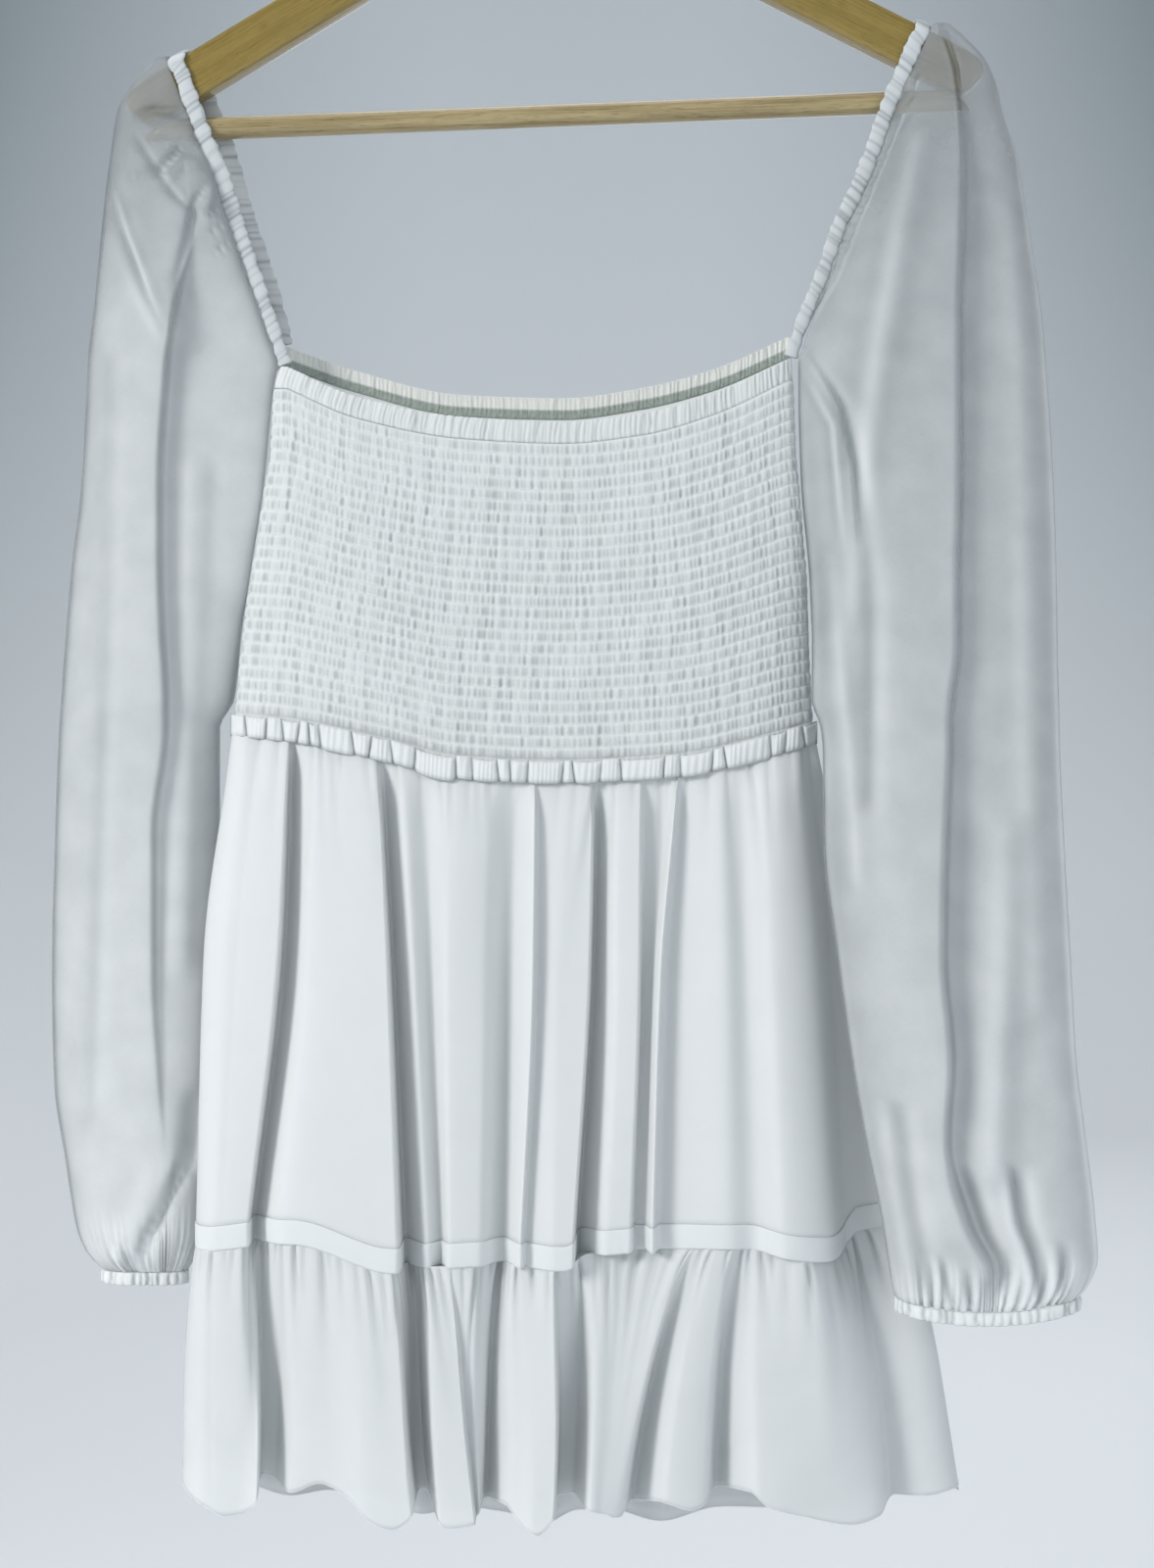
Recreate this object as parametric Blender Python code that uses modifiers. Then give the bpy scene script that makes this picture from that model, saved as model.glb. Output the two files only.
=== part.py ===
"""A sheer white mini dress with a smocked bodice and long full sleeves, hung on a wooden hanger.

Sizes are millimetres until a mesh is made. The origin is the inner top of the hook, the point the hanger
hangs from, with +X to the viewer's right, +Y away from the viewer and +Z up. A drop is a distance below
the origin. Widths and drops in the tables are read from straight in front, at the hanger's depth.
"""

import math

import bmesh
import bpy
import numpy as np

MM = 0.001

# Where the outline is read from: the eye stands in front of the dress, level with its middle
EYE_X = 14.5
EYE_DROP = 548.0
EYE_DISTANCE = 1111.0

# Hanger
HANGER_TILT = 2.2  # degrees, right end up
WOOD_THICKNESS = 12.0
WOOD_EDGE = 3.0
BAR_DIAMETER = 11.2
BAR_DROP = 204.8
BAR_HALF_LENGTH = 197.0  # along its top, where it meets the undersides of the arms
BAR_END_SLANT = 1.25
WIRE_DIAMETER = 3.8
HOOK_RADIUS = 19.5
WOOD_SHIFT = (-4.0, 2.2)  # the wood's middle, across and down from where the hook hangs

# All the cloth
SEAM_GAP = 0.3
CLOTH_WALL = 1.2
LEAST_COLUMN_SPACING = 0.12

# Smocked bodice
SMOCKED_WALL = 1.5
SMOCKED_COLUMNS = {"front": 17, "back": 11}
SHIRRING_ROWS = 28
SHIRRING_RELIEF = 1.1
PUFF_UNEVENNESS = 0.3
BACK_DEPTH_SHARE = 0.85
PANEL_CORNERS = {"left": (-133.5, -158.0), "right": (122.5, 133.0)}  # across, at the neck and the waist
NECK_CASING_HEIGHT = 11.5
NECK_CASING_RELIEF = 0.8
NECK_CASING_HALF_GATHERS = 4  # in each stretch between two columns of the shirring

# Waist frill
FRILL_HEIGHT = 10.8
FRILL_WALL = 1.4
FRILL_RELIEF = 2.6
FRILL_CLEARANCE = 2.4
FRILL_GATHERS = {"front": 22, "back": 17}
FRILL_END_RISE = 0.3

# Skirt and flounce
SKIRT_WAIST_WIDENING = 1.4  # the skirt's top edge, outside the bodice's at each side
SKIRT_WAIST_CLEARANCE = 0.8  # and before and behind it
SKIRT_TOP_SET = 1.2  # the skirt starts this far below the bodice's edge, behind the frill
SKIRT_STATIONS = (0, 0.45, 1)  # shares of the way down at which its fold lines are given
TIER_BAND_HEIGHT = 11.5
TIER_BAND_WALL = 2.0
TIER_BAND_STAND = 0.3
FLOUNCE_GATHER = 1.3
FLOUNCE_TOP_SET = 1.2  # below the strip's edge, where the gathers leave it
FLOUNCE_OPENING_POWER = 0.7

# Sleeves, their head casings and cuffs
SLEEVE_TOP_WALL = 1.6
SLEEVE_SIDE = {"left": -1, "right": 1}
SLEEVE_DROOP = {"left": 0.0, "right": 5.0}
SLEEVE_FOLD_SOFTNESS = 2.2
HEAD_CASING_WIDTH = 6.8
HEAD_CASING_THICKNESS = 2.4
HEAD_CASING_Y = 7.55
HEAD_CASING_CLEARANCE = 1.3
HEAD_CASING_BEND_CLEARANCE = 1.8  # as well, where the casing turns over the arm
HEAD_CASING_BEND_REACH = 30.0
HEAD_CASING_RING_SPACING = 6.2
HEAD_CASING_PINCH = 0.8
HEAD_CASING_LEAN = {"left": (-0.9, 0.0, -0.43), "right": (0.9, 0.0, -0.43)}
NECK_CORNER = {"left": (334.0, 324.0), "right": (330.0, 319.0)}  # drops, front and back
ARM_REACH = 189.0  # about where the head casings cross the arms
CUFF_HEIGHT = 6.8
CUFF_RELIEF = 1.0


def smooth(keys, values, key):
    """The value at a key, read along a curve that never overshoots the values it passes through."""
    order = np.argsort(keys)
    keys = np.asarray(keys, float)[order]
    values = np.asarray(values, float)[order]
    step = np.diff(keys)
    rise = np.diff(values) / step
    slope = np.zeros(len(keys))
    slope[0] = rise[0]
    slope[-1] = rise[-1]
    both = rise[:-1] * rise[1:]
    turning = both <= 0
    total = np.where(turning, 1.0, rise[:-1] + rise[1:])
    slope[1:-1] = np.where(turning, 0.0, 2 * both / total)
    key = np.clip(key, keys[0], keys[-1])
    i = np.clip(np.searchsorted(keys, key) - 1, 0, len(keys) - 2)
    t = (key - keys[i]) / step[i]
    start = values[i] * (1 + 2 * t) * (1 - t) ** 2 + slope[i] * step[i] * t * (1 - t) ** 2
    end = values[i + 1] * t * t * (3 - 2 * t) + slope[i + 1] * step[i] * t * t * (t - 1)
    return start + end


class Table:
    """Rows of numbers with named columns, read between the rows by the first column."""

    def __init__(self, columns, *rows):
        names = columns.split()
        self.columns = dict(zip(names, np.array(rows, float).T))
        self.key = names[0]

    def __getitem__(self, name):
        return self.columns[name]

    def at(self, name, key):
        return smooth(self.columns[self.key], self.columns[name], key)


# Half the hanger body, in its own frame: distance from the middle, drop of the middle line, half height
HANGER_LINE = Table(
    "out drop half_height",
    (0, 79.0, 15.0),
    (16, 86.5, 13.2),
    (60, 110.0, 11.4),
    (120, 143.5, 11.3),
    (175, 174.0, 11.3),
    (201, 188.5, 11.2),
    (209, 193.5, 10.6),
    (213.5, 198.0, 7.0),
)

# The neck edge, and the waist seam at the frill's middle
NECKLINE = Table(
    "across front back",
    (-133.5, 335.0, 325.0),
    (-98.0, 350.0, 337.3),
    (-44.5, 360.5, 349.5),
    (7.5, 363.0, 351.2),
    (47.5, 358.8, 346.0),
    (84.0, 348.5, 336.5),
    (122.5, 331.0, 319.8),
)
WAIST = Table(
    "across drop",
    (-164.0, 518.0),
    (-132.0, 521.0),
    (-84.5, 530.5),
    (-48.0, 539.5),
    (0.0, 542.0),
    (65.5, 539.0),
    (104.0, 531.0),
    (137.0, 522.0),
)

# The smocked bodice's sides, its depth from side to middle, and half the armhole's opening
BODICE = Table(
    "drop left right depth opening",
    (333, -135.5, 123.6, 17.0, 7.2),
    (346, -139.5, 124.5, 17.5, 7.2),
    (378, -141.5, 125.8, 18.0, 7.2),
    (400, -145.0, 127.8, 18.0, 7.0),
    (436, -150.5, 130.7, 18.0, 4.2),
    (452, -153.0, 131.7, 18.0, 1.6),
    (468, -155.0, 132.3, 17.8, 0.15),
    (485, -157.0, 132.8, 17.5, 0.15),
    (520, -160.0, 134.8, 17.0, 0.15),
)

# Fold lines of the upper skirt, left to right: where each runs, and its depth halfway and at the tier seam
SKIRT_FRONT = Table(
    "waist_x mid_x tier_x mid_y tier_y",
    (-161.2, -176.0, -180.0, 0.0, 0.0),
    (-149.0, -160.0, -166.0, -22.0, -22.0),
    (-131.0, -140.0, -151.0, -12.0, -6.0),
    (-107.5, -107.5, -110.0, -28.0, -30.0),
    (-85.0, -82.0, -77.0, -29.0, -32.0),
    (-80.0, -75.0, -68.5, -12.0, -10.0),
    (-71.0, -62.0, -59.0, -22.0, -21.0),
    (-60.0, -54.0, -52.0, -18.0, -18.0),
    (-40.0, -38.0, -40.0, -26.0, -27.0),
    (-13.5, -21.5, -24.0, -16.0, -15.0),
    (-6.5, -13.0, -16.5, -24.0, -25.0),
    (12.5, 6.0, 3.0, -25.0, -29.0),
    (21.0, 15.0, 9.5, -23.0, -27.0),
    (25.5, 20.5, 15.0, -8.0, -5.0),
    (40.0, 36.0, 32.0, -21.0, -22.0),
    (58.0, 51.0, 45.5, -16.0, -15.0),
    (65.0, 57.0, 52.0, -24.0, -26.0),
    (73.0, 65.0, 61.0, -15.0, -14.0),
    (90.0, 91.0, 92.0, -21.0, -22.0),
    (118.0, 125.0, 130.0, -24.0, -27.0),
    (129.5, 140.5, 148.0, -16.0, -20.0),
    (132.5, 144.0, 152.5, -3.0, 2.0),
    (136.0, 158.5, 179.0, 2.0, 8.0),
)
SKIRT_BACK = Table(
    "waist_x mid_x tier_x mid_y tier_y",
    (-161.2, -176.0, -180.0, 0.0, 0.0),
    (-146.0, -158.0, -160.0, 17.0, 19.0),
    (-120.0, -128.0, -132.0, 11.0, 8.0),
    (-98.0, -104.0, -106.0, 19.0, 23.0),
    (-72.0, -74.0, -75.0, 12.0, 9.0),
    (-40.0, -42.0, -40.0, 19.0, 22.0),
    (-14.0, -14.0, -12.0, 13.0, 10.0),
    (10.0, 14.0, 18.0, 20.0, 24.0),
    (34.0, 40.0, 46.0, 12.0, 8.0),
    (62.0, 68.0, 74.0, 19.0, 23.0),
    (84.0, 92.0, 98.0, 13.0, 11.0),
    (104.0, 116.0, 124.0, 19.0, 23.0),
    (124.0, 142.0, 152.0, 15.0, 16.0),
    (136.0, 158.5, 179.0, 2.0, 8.0),
)

# The level of the tier seam and of the hems, as they hang
TIER_LEVEL = Table(
    "across drop",
    (-180, 772),
    (-130, 766),
    (-80, 779),
    (-30, 777),
    (8, 779),
    (20, 773),
    (90, 769),
    (148, 776),
    (157, 765),
    (180, 762),
)
HEM_FRONT = Table(
    "across drop",
    (-190, 905),
    (-166, 913),
    (-137, 900),
    (-105, 903),
    (-84, 914),
    (-50, 914),
    (-25, 910),
    (-7, 917),
    (8, 910),
    (34, 915),
    (55, 910),
    (90, 908),
    (128, 914),
    (180, 912),
    (212, 911),
)
HEM_BACK = Table("across drop", (-193, 897), (-120, 915), (0, 927), (110, 924), (212, 911))

# Fold lines of the flounce: where each leaves the tier seam, and its place and depth at the hem
FLOUNCE_FRONT = Table(
    "top_x hem_x hem_y",
    (-180.0, -189.0, 1.0),
    (-170.0, -173.0, -22.0),
    (-157.0, -156.0, -27.0),
    (-151.0, -147.5, -3.0),
    (-145.0, -134.0, -5.0),
    (-133.0, -114.0, -11.0),
    (-105.0, -89.0, -36.0),
    (-78.0, -73.0, -38.0),
    (-71.0, -66.5, -4.0),
    (-60.0, -55.5, -36.0),
    (-46.0, -42.0, -31.0),
    (-34.0, -33.0, -5.0),
    (-25.0, -23.0, -7.0),
    (-14.0, -8.0, -42.0),
    (0.0, 1.0, -40.0),
    (9.5, 6.0, -6.0),
    (19.0, 20.0, -4.0),
    (29.0, 33.0, -34.0),
    (39.0, 41.5, -30.0),
    (53.0, 53.0, -8.0),
    (65.0, 72.0, -15.0),
    (79.0, 87.0, -3.0),
    (95.0, 106.0, -6.0),
    (114.0, 127.0, -25.0),
    (136.0, 155.0, -35.0),
    (149.0, 171.0, -23.0),
    (154.0, 176.0, 3.0),
    (165.0, 193.0, 0.0),
    (179.0, 211.5, 10.0),
)
FLOUNCE_BACK = Table(
    "top_x hem_x hem_y",
    (-180.0, -189.0, 1.0),
    (-165.0, -176.0, 20.0),
    (-148.0, -154.0, 12.0),
    (-132.0, -134.0, 6.0),
    (-112.0, -108.0, 26.0),
    (-92.0, -84.0, 24.0),
    (-75.0, -66.0, 7.0),
    (-55.0, -44.0, 26.0),
    (-36.0, -24.0, 22.0),
    (-14.0, -4.0, 6.0),
    (8.0, 16.0, 27.0),
    (28.0, 38.0, 24.0),
    (46.0, 60.0, 7.0),
    (68.0, 86.0, 26.0),
    (88.0, 108.0, 22.0),
    (108.0, 130.0, 9.0),
    (130.0, 156.0, 26.0),
    (152.0, 182.0, 21.0),
    (179.0, 211.5, 10.0),
)

# The gathered tubes along the sleeve heads: where their front and back stretches run
HEAD_CASING = {
    "left": Table(
        "drop front back",
        (178, -189.5, -183.0),
        (194, -184.5, -175.5),
        (205, -180.5, -171.5),
        (222, -174.0, -164.5),
        (237, -167.0, -160.0),
        (255, -161.5, -155.0),
        (272, -156.0, -149.0),
        (303, -145.0, -138.7),
        (334, -134.3, -131.0),
    ),
    "right": Table(
        "drop front back",
        (160, 191.2, 193.5),
        (186, 180.3, 185.0),
        (203, 173.0, 178.0),
        (225, 165.5, 169.0),
        (247, 156.5, 160.0),
        (262, 149.0, 154.0),
        (288, 139.8, 143.5),
        (310, 130.5, 131.0),
        (331, 123.2, 123.2),
    ),
}

# Rings of each sleeve: its outer side, its inner side where no head casing sets it, the depth and half
# opening of the inner edge, the depths of its front and back, and its front's long fold and that fold's step
SLEEVE = {
    "left": Table(
        "drop outer inner seam_y gap front back fold step",
        (177.2, -196.8, -190.5, 0, 0.3, -0.6, 0.6, -182, 0),
        (178.4, -199.3, -190.5, 0, 4.8, -5.2, 5.2, -182, 0),
        (181.4, -203.0, -190.5, 0, 7.8, -8.4, 8.4, -182, 0),
        (187.0, -209.0, -190.5, 0, 7.8, -8.8, 8.8, -182, 0),
        (194.0, -214.8, -190.5, 0, 7.8, -9.2, 9.2, -182, 0),
        (205.5, -220.5, -184.5, 0, 7.8, -10.2, 10.2, -182, 0),
        (222.0, -223.0, -178.0, 0, 7.4, -13.0, 12.0, -182, 0),
        (240.0, -225.5, -169.5, 0, 7.4, -17.0, 14.0, -182, 0),
        (272.0, -229.0, -160.0, 0, 7.4, -19.0, 17.0, -182, 3),
        (303.0, -232.0, -149.0, 0, 7.4, -18.0, 18.0, -189, 6),
        (334.0, -235.5, -138.6, 0, 7.2, -17.0, 20.0, -194, 7),
        (346.0, -236.0, -140.4, 0, 7.2, -16.5, 21.0, -195, 7),
        (398.0, -239.0, -145.6, 0, 7.2, -15.0, 24.0, -198, 7),
        (436.0, -243.5, -151.4, 0, 4.2, -14.0, 28.0, -198, 7),
        (470.0, -246.5, -156.4, 4, 0.15, -12.0, 30.0, -197, 7),
        (505.0, -249.0, -160.2, 12, 0.15, -9.0, 33.0, -195, 7),
        (519.0, -250.0, -167.5, 15, 0.15, -5.0, 36.0, -195, 6),
        (573.0, -252.0, -167.5, 24, 0.15, 3.0, 46.0, -201, 5),
        (643.0, -253.7, -168.0, 28, 0.15, 7.0, 50.0, -201, 4),
        (700.0, -252.5, -169.0, 30, 0.15, 8.0, 52.0, -198, 2),
        (738.0, -247.0, -171.0, 30, 0.15, 8.0, 52.0, -196, 0),
        (773.0, -241.0, -174.0, 29, 0.15, 9.0, 50.0, -196, 0),
        (786.0, -235.5, -178.5, 29, 0.15, 14.0, 44.0, -196, 0),
        (795.0, -227.0, -183.5, 29, 0.15, 20.0, 38.0, -196, 0),
    ),
    "right": Table(
        "drop outer inner seam_y gap front back fold step",
        (160.2, 202.0, 193.5, 0, 0.3, -0.6, 0.6, 201, 0),
        (161.3, 204.0, 193.5, 0, 4.8, -5.2, 5.2, 202, 0),
        (164.2, 207.5, 193.5, 0, 7.8, -8.4, 8.4, 203, 0),
        (170.0, 214.3, 191.0, 0, 7.8, -8.8, 8.8, 204, 0),
        (178.5, 222.7, 187.7, 0, 7.8, -9.2, 9.2, 206, 1),
        (190.5, 228.6, 183.0, 0, 7.8, -10.2, 10.2, 209, 2),
        (207.0, 232.5, 175.8, 0, 7.4, -13.0, 12.0, 211, 4),
        (225.5, 238.5, 169.5, 0, 7.4, -17.0, 14.0, 212, 6),
        (251.0, 243.0, 159.0, 0, 7.4, -20.0, 15.0, 212, 8),
        (280.0, 247.5, 146.8, 0, 7.4, -22.0, 16.0, 211, 9),
        (310.0, 252.0, 134.5, 0, 7.4, -23.0, 16.0, 210, 9),
        (331.0, 253.8, 127.2, 0, 7.2, -24.0, 16.0, 210, 9),
        (390.0, 257.7, 128.6, 0, 7.2, -27.0, 15.0, 210, 9),
        (445.0, 259.5, 133.2, 0, 3.0, -32.0, 13.0, 209, 9),
        (480.0, 260.0, 134.2, -6, 0.15, -36.0, 10.0, 209, 9),
        (505.0, 260.6, 134.0, -17, 0.15, -40.0, 6.0, 206, 9),
        (519.0, 261.0, 138.6, -22, 0.15, -43.0, 3.0, 205, 9),
        (530.0, 261.2, 139.8, -25, 0.15, -46.0, 0.0, 205, 9),
        (580.0, 263.5, 140.5, -32, 0.15, -54.0, -7.0, 203, 10),
        (634.0, 266.5, 147.0, -34, 0.15, -57.0, -9.0, 202, 10),
        (688.0, 269.5, 154.5, -35, 0.15, -58.0, -9.0, 206, 10),
        (726.0, 274.0, 161.0, -35, 0.15, -58.0, -9.0, 204, 9),
        (765.0, 278.7, 169.0, -34, 0.15, -58.0, -9.0, 214, 7),
        (790.0, 280.5, 173.0, -32, 0.15, -53.0, -11.0, 226, 4),
        (803.0, 276.0, 175.0, -31, 0.15, -48.0, -15.0, 226, 2),
        (809.0, 271.0, 176.5, -31, 0.15, -45.0, -18.0, 226, 0),
    ),
}
# How closely a sleeve's front and back keep to its flat form, from a tight top to rounder sides
SLEEVE_SQUARENESS = Table("drop power", (170, 9.0), (215, 4.0), (300, 3.0), (900, 3.0))
SLEEVE_DROOP_SHARE = Table("drop share", (730, 0.0), (805, 1.0))


def finish(name, colour, roughness, metallic=0.0):
    """A plain material with the colour and roughness of one piece."""
    material = bpy.data.materials.new(name)
    material.use_nodes = True
    shader = material.node_tree.nodes["Principled BSDF"]
    shader.inputs["Base Color"].default_value = (*colour, 1.0)
    shader.inputs["Roughness"].default_value = roughness
    shader.inputs["Metallic"].default_value = metallic
    return material


def add_piece(name, mesh, material, collection):
    piece = bpy.data.objects.new(name, mesh)
    mesh.materials.append(material)
    collection.objects.link(piece)
    return piece


def drawn_in(value, eye, y):
    """A width or drop read at the hanger's depth, carried to the depth y along the line of sight."""
    return eye + (value - eye) * (1 + y / EYE_DISTANCE)


def point(across, y, drop, level=None):
    """A point of the cloth as read from in front, at depth y. A level is a drop that needs no reading."""
    if level is None:
        level = drawn_in(drop, EYE_DROP, y)
    return (drawn_in(across, EYE_X, y), y, -level)


def rounded(s, side_power=3.0, nose_power=0.55):
    """How far a flattened section stands out at s, from 0 at its sides to 1 along its middle."""
    return (1 - np.abs(s) ** side_power) ** nose_power


def spread(count):
    """Places from -1 to 1 that crowd together at the sides of a section."""
    return -np.cos(np.linspace(0, math.pi, count))


def outward(grid, seamed=True):
    """Unit normals of a grid whose rows run down and columns run round the body, level along its edges.

    Where the sides are seamed, they face straight across, so that the two walls of a seam end level.
    """
    down = np.gradient(grid, axis=0)
    across = np.gradient(grid, axis=1)
    normals = np.cross(down, across)
    if seamed:
        normals[:, [0, -1], 1] = 0
    normals[[0, -1], :, 2] = 0
    return normals / np.linalg.norm(normals, axis=2, keepdims=True)


def moved_out(grid, distance):
    return grid + outward(grid) * distance


def in_order(grid):
    """The grid with each row's places across kept in order, so that a wall's inside never laps itself."""
    hand = np.sign(grid[0, -1, 0] - grid[0, 0, 0])
    spacing = LEAST_COLUMN_SPACING * np.arange(grid.shape[1])
    across = grid[..., 0] * hand - spacing
    rising = np.maximum.accumulate(across, axis=1)
    falling = np.minimum.accumulate(across[:, ::-1], axis=1)[:, ::-1]
    ordered = grid.copy()
    ordered[..., 0] = ((rising + falling) / 2 + spacing) * hand
    return ordered


def fill_grid(bm, rows):
    """Triangles over a grid, cut the same way on both sides of a wall."""
    for upper, lower in zip(rows, rows[1:]):
        for c in range(len(upper) - 1):
            bm.faces.new((upper[c], lower[c], lower[c + 1]))
            bm.faces.new((upper[c], lower[c + 1], upper[c + 1]))


def join_edges(bm, first, second):
    """Triangles between two runs of points that may differ in number."""
    i = 0
    j = 0
    while i < len(first) - 1 or j < len(second) - 1:
        first_next = (i + 1) * (len(second) - 1)
        second_next = (j + 1) * (len(first) - 1)
        if j == len(second) - 1 or (i < len(first) - 1 and first_next <= second_next):
            bm.faces.new((first[i], first[i + 1], second[j]))
            i += 1
        else:
            bm.faces.new((first[i], second[j + 1], second[j]))
            j += 1


def face_out(bm):
    """Turns a closed shape's faces outwards."""
    bmesh.ops.recalc_face_normals(bm, faces=bm.faces)
    if bm.calc_volume(signed=True) < 0:
        bmesh.ops.reverse_faces(bm, faces=bm.faces)


def cloth_wall(name, outer, inner, material, collection):
    """A closed wall between an outer grid and an inner one, which may have fewer rows."""
    bm = bmesh.new()
    outside = [[bm.verts.new(p * MM) for p in row] for row in outer]
    inside = [[bm.verts.new(p * MM) for p in row] for row in inner]
    fill_grid(bm, outside)
    fill_grid(bm, inside)
    for end in (0, -1):
        join_edges(bm, outside[end], inside[end])
        join_edges(bm, [row[end] for row in outside], [row[end] for row in inside])
    face_out(bm)
    mesh = bpy.data.meshes.new(name)
    bm.to_mesh(mesh)
    bm.free()
    mesh.shade_smooth()
    mesh.set_sharp_from_angle(angle=math.radians(60))
    return add_piece(name, mesh, material, collection)


def hanger_edge(side):
    """Half the hanger body's upper or lower edge, as (out, drop) pairs from the middle to the tip."""
    out = HANGER_LINE["out"]
    drop = HANGER_LINE["drop"]
    lean = np.gradient(drop, out)
    lean[0] = 0
    length = np.hypot(1, lean)
    half = HANGER_LINE["half_height"]
    return np.column_stack([out + side * half * lean / length, drop - side * half / length])


def tilted(out, drop):
    """A point of the hanger's own frame, in the dress's frame."""
    turn = math.radians(HANGER_TILT)
    across = out * math.cos(turn) + drop * math.sin(turn)
    return across, drop * math.cos(turn) - out * math.sin(turn)


def arm_top_drop(across, hand):
    """The drop of the arm's upper edge at a place across, on the left or right arm."""
    edge = hanger_edge(1)
    places, drops = tilted(edge[:, 0] * hand + WOOD_SHIFT[0], edge[:, 1] + WOOD_SHIFT[1])
    return np.interp(across, places[::hand], drops[::hand])


def hanger_body(pivot, material, collection):
    """Both arms as one outline, thickened and with its edges rounded."""
    upper = hanger_edge(1)
    lower = hanger_edge(-1)
    half = [*upper, *lower[::-1]]
    left = [(-out, drop) for out, drop in half[1:-1]]
    bm = bmesh.new()
    front = -WOOD_THICKNESS / 2 * MM
    corners = [bm.verts.new((out * MM, front, -drop * MM)) for out, drop in [*half, *left[::-1]]]
    face = bm.faces.new(corners)
    raised = bmesh.ops.extrude_face_region(bm, geom=[face])
    moved = [v for v in raised["geom"] if isinstance(v, bmesh.types.BMVert)]
    bmesh.ops.translate(bm, verts=moved, vec=(0, WOOD_THICKNESS * MM, 0))
    face_out(bm)
    mesh = bpy.data.meshes.new("hanger_body")
    bm.to_mesh(mesh)
    bm.free()
    piece = add_piece("hanger_body", mesh, material, collection)
    piece.parent = pivot
    piece.location = (WOOD_SHIFT[0] * MM, 0, -WOOD_SHIFT[1] * MM)
    bevel = piece.modifiers.new("rounded edges", "BEVEL")
    bevel.width = WOOD_EDGE * MM
    bevel.segments = 2
    bevel.angle_limit = math.radians(60)
    return piece


def hanger_bar(pivot, material, collection):
    """A round bar whose ends are cut on the slant to sit along the undersides of the arms."""
    bm = bmesh.new()
    radius = BAR_DIAMETER / 2
    bmesh.ops.create_cone(bm, cap_ends=True, segments=16, radius1=radius, radius2=radius, depth=2)
    for vert in bm.verts:
        reach = BAR_HALF_LENGTH + BAR_END_SLANT * (vert.co.x + radius)
        vert.co = (math.copysign(reach, vert.co.z) * MM, vert.co.y * MM, -(BAR_DROP + vert.co.x) * MM)
    face_out(bm)
    mesh = bpy.data.meshes.new("hanger_bar")
    bm.to_mesh(mesh)
    bm.free()
    piece = add_piece("hanger_bar", mesh, material, collection)
    piece.parent = pivot
    piece.location = (WOOD_SHIFT[0] * MM, 0, -WOOD_SHIFT[1] * MM)
    return piece


def hanger_hook(pivot, material, collection):
    """A bent wire: round the hook from its tip, over the top, then back to the stem and down."""
    ring = HOOK_RADIUS + WIRE_DIAMETER / 2
    turns = np.radians(np.linspace(205, -42, 18))
    route = [(ring * math.cos(a), -HOOK_RADIUS + ring * math.sin(a)) for a in turns]
    stem_top = HANGER_LINE["drop"][0] - HANGER_LINE["half_height"][0] + WOOD_SHIFT[1] - SEAM_GAP
    route += [(7.5, -40.0), (1.2, -44.5), (-2.4, -49.5), (-4.0, -55.0), (WOOD_SHIFT[0], -stem_top)]
    curve = bpy.data.curves.new("hanger_hook", "CURVE")
    curve.dimensions = "3D"
    curve.bevel_depth = WIRE_DIAMETER / 2 * MM
    curve.bevel_resolution = 2
    curve.use_fill_caps = True
    spline = curve.splines.new("POLY")
    spline.points.add(len(route) - 1)
    for spot, (out, height) in zip(spline.points, route):
        spot.co = (out * MM, 0, height * MM, 1)
    piece = bpy.data.objects.new("hanger_hook", curve)
    curve.materials.append(material)
    collection.objects.link(piece)
    piece.parent = pivot
    return piece


def bodice_section(drop_left, drop_right, s, face):
    """Seen place across and depth of the bodice at s, from its left side to its right."""
    left = BODICE.at("left", drop_left)
    right = BODICE.at("right", drop_right)
    drop = (drop_left + drop_right) / 2
    opening = BODICE.at("opening", drop)
    depth = BODICE.at("depth", drop)
    if face == "back":
        depth *= BACK_DEPTH_SHARE
    stand = opening + (depth - opening) * rounded(s)
    across = (left + right) / 2 + (right - left) / 2 * s
    return across, -stand if face == "front" else stand


def bodice_grid(face, places, shares, top, bottom):
    """Rows of the bodice between two edges, each a function that gives a drop from a place across."""
    rows = []
    for share in shares:
        sides = []
        for upper, lower in PANEL_CORNERS.values():
            sides.append(top(upper) + (bottom(lower) - top(upper)) * share)
        across, y = bodice_section(*sides, places, face)
        drop = top(across) + (bottom(across) - top(across)) * share
        rows.append(np.column_stack(point(across, y, drop)))
    grid = np.array(rows)
    return grid if face == "front" else grid[:, ::-1]


def below_neck(face, distance):
    return lambda across: NECKLINE.at(face, across) + distance


def above_waist(distance):
    return lambda across: WAIST.at("drop", across) - distance


def smocked_panel(face, material, collection):
    """A shirred panel: ribs and small puffs raised in its outer points, over a plain inside."""
    columns = SMOCKED_COLUMNS[face]
    places = spread(columns)
    count = 2 * SHIRRING_ROWS + 1
    edges = (below_neck(face, NECK_CASING_HEIGHT), above_waist(SEAM_GAP))
    inner = bodice_grid(face, places, np.linspace(0, 1, SHIRRING_ROWS // 2 + 1), *edges)
    outer = bodice_grid(face, places, np.linspace(0, 1, count), *edges)
    row, column = np.indices((count, columns))
    puff = np.where(row % 2 == 1, 1 + PUFF_UNEVENNESS * (-1.0) ** (column + row // 2), 0)
    puff[:, 0] = 0
    puff[:, -1] = 0
    outer = moved_out(outer, (SHIRRING_RELIEF * puff)[..., None])
    return cloth_wall(f"bodice_{face}", outer, moved_out(inner, -SMOCKED_WALL), material, collection)


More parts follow.
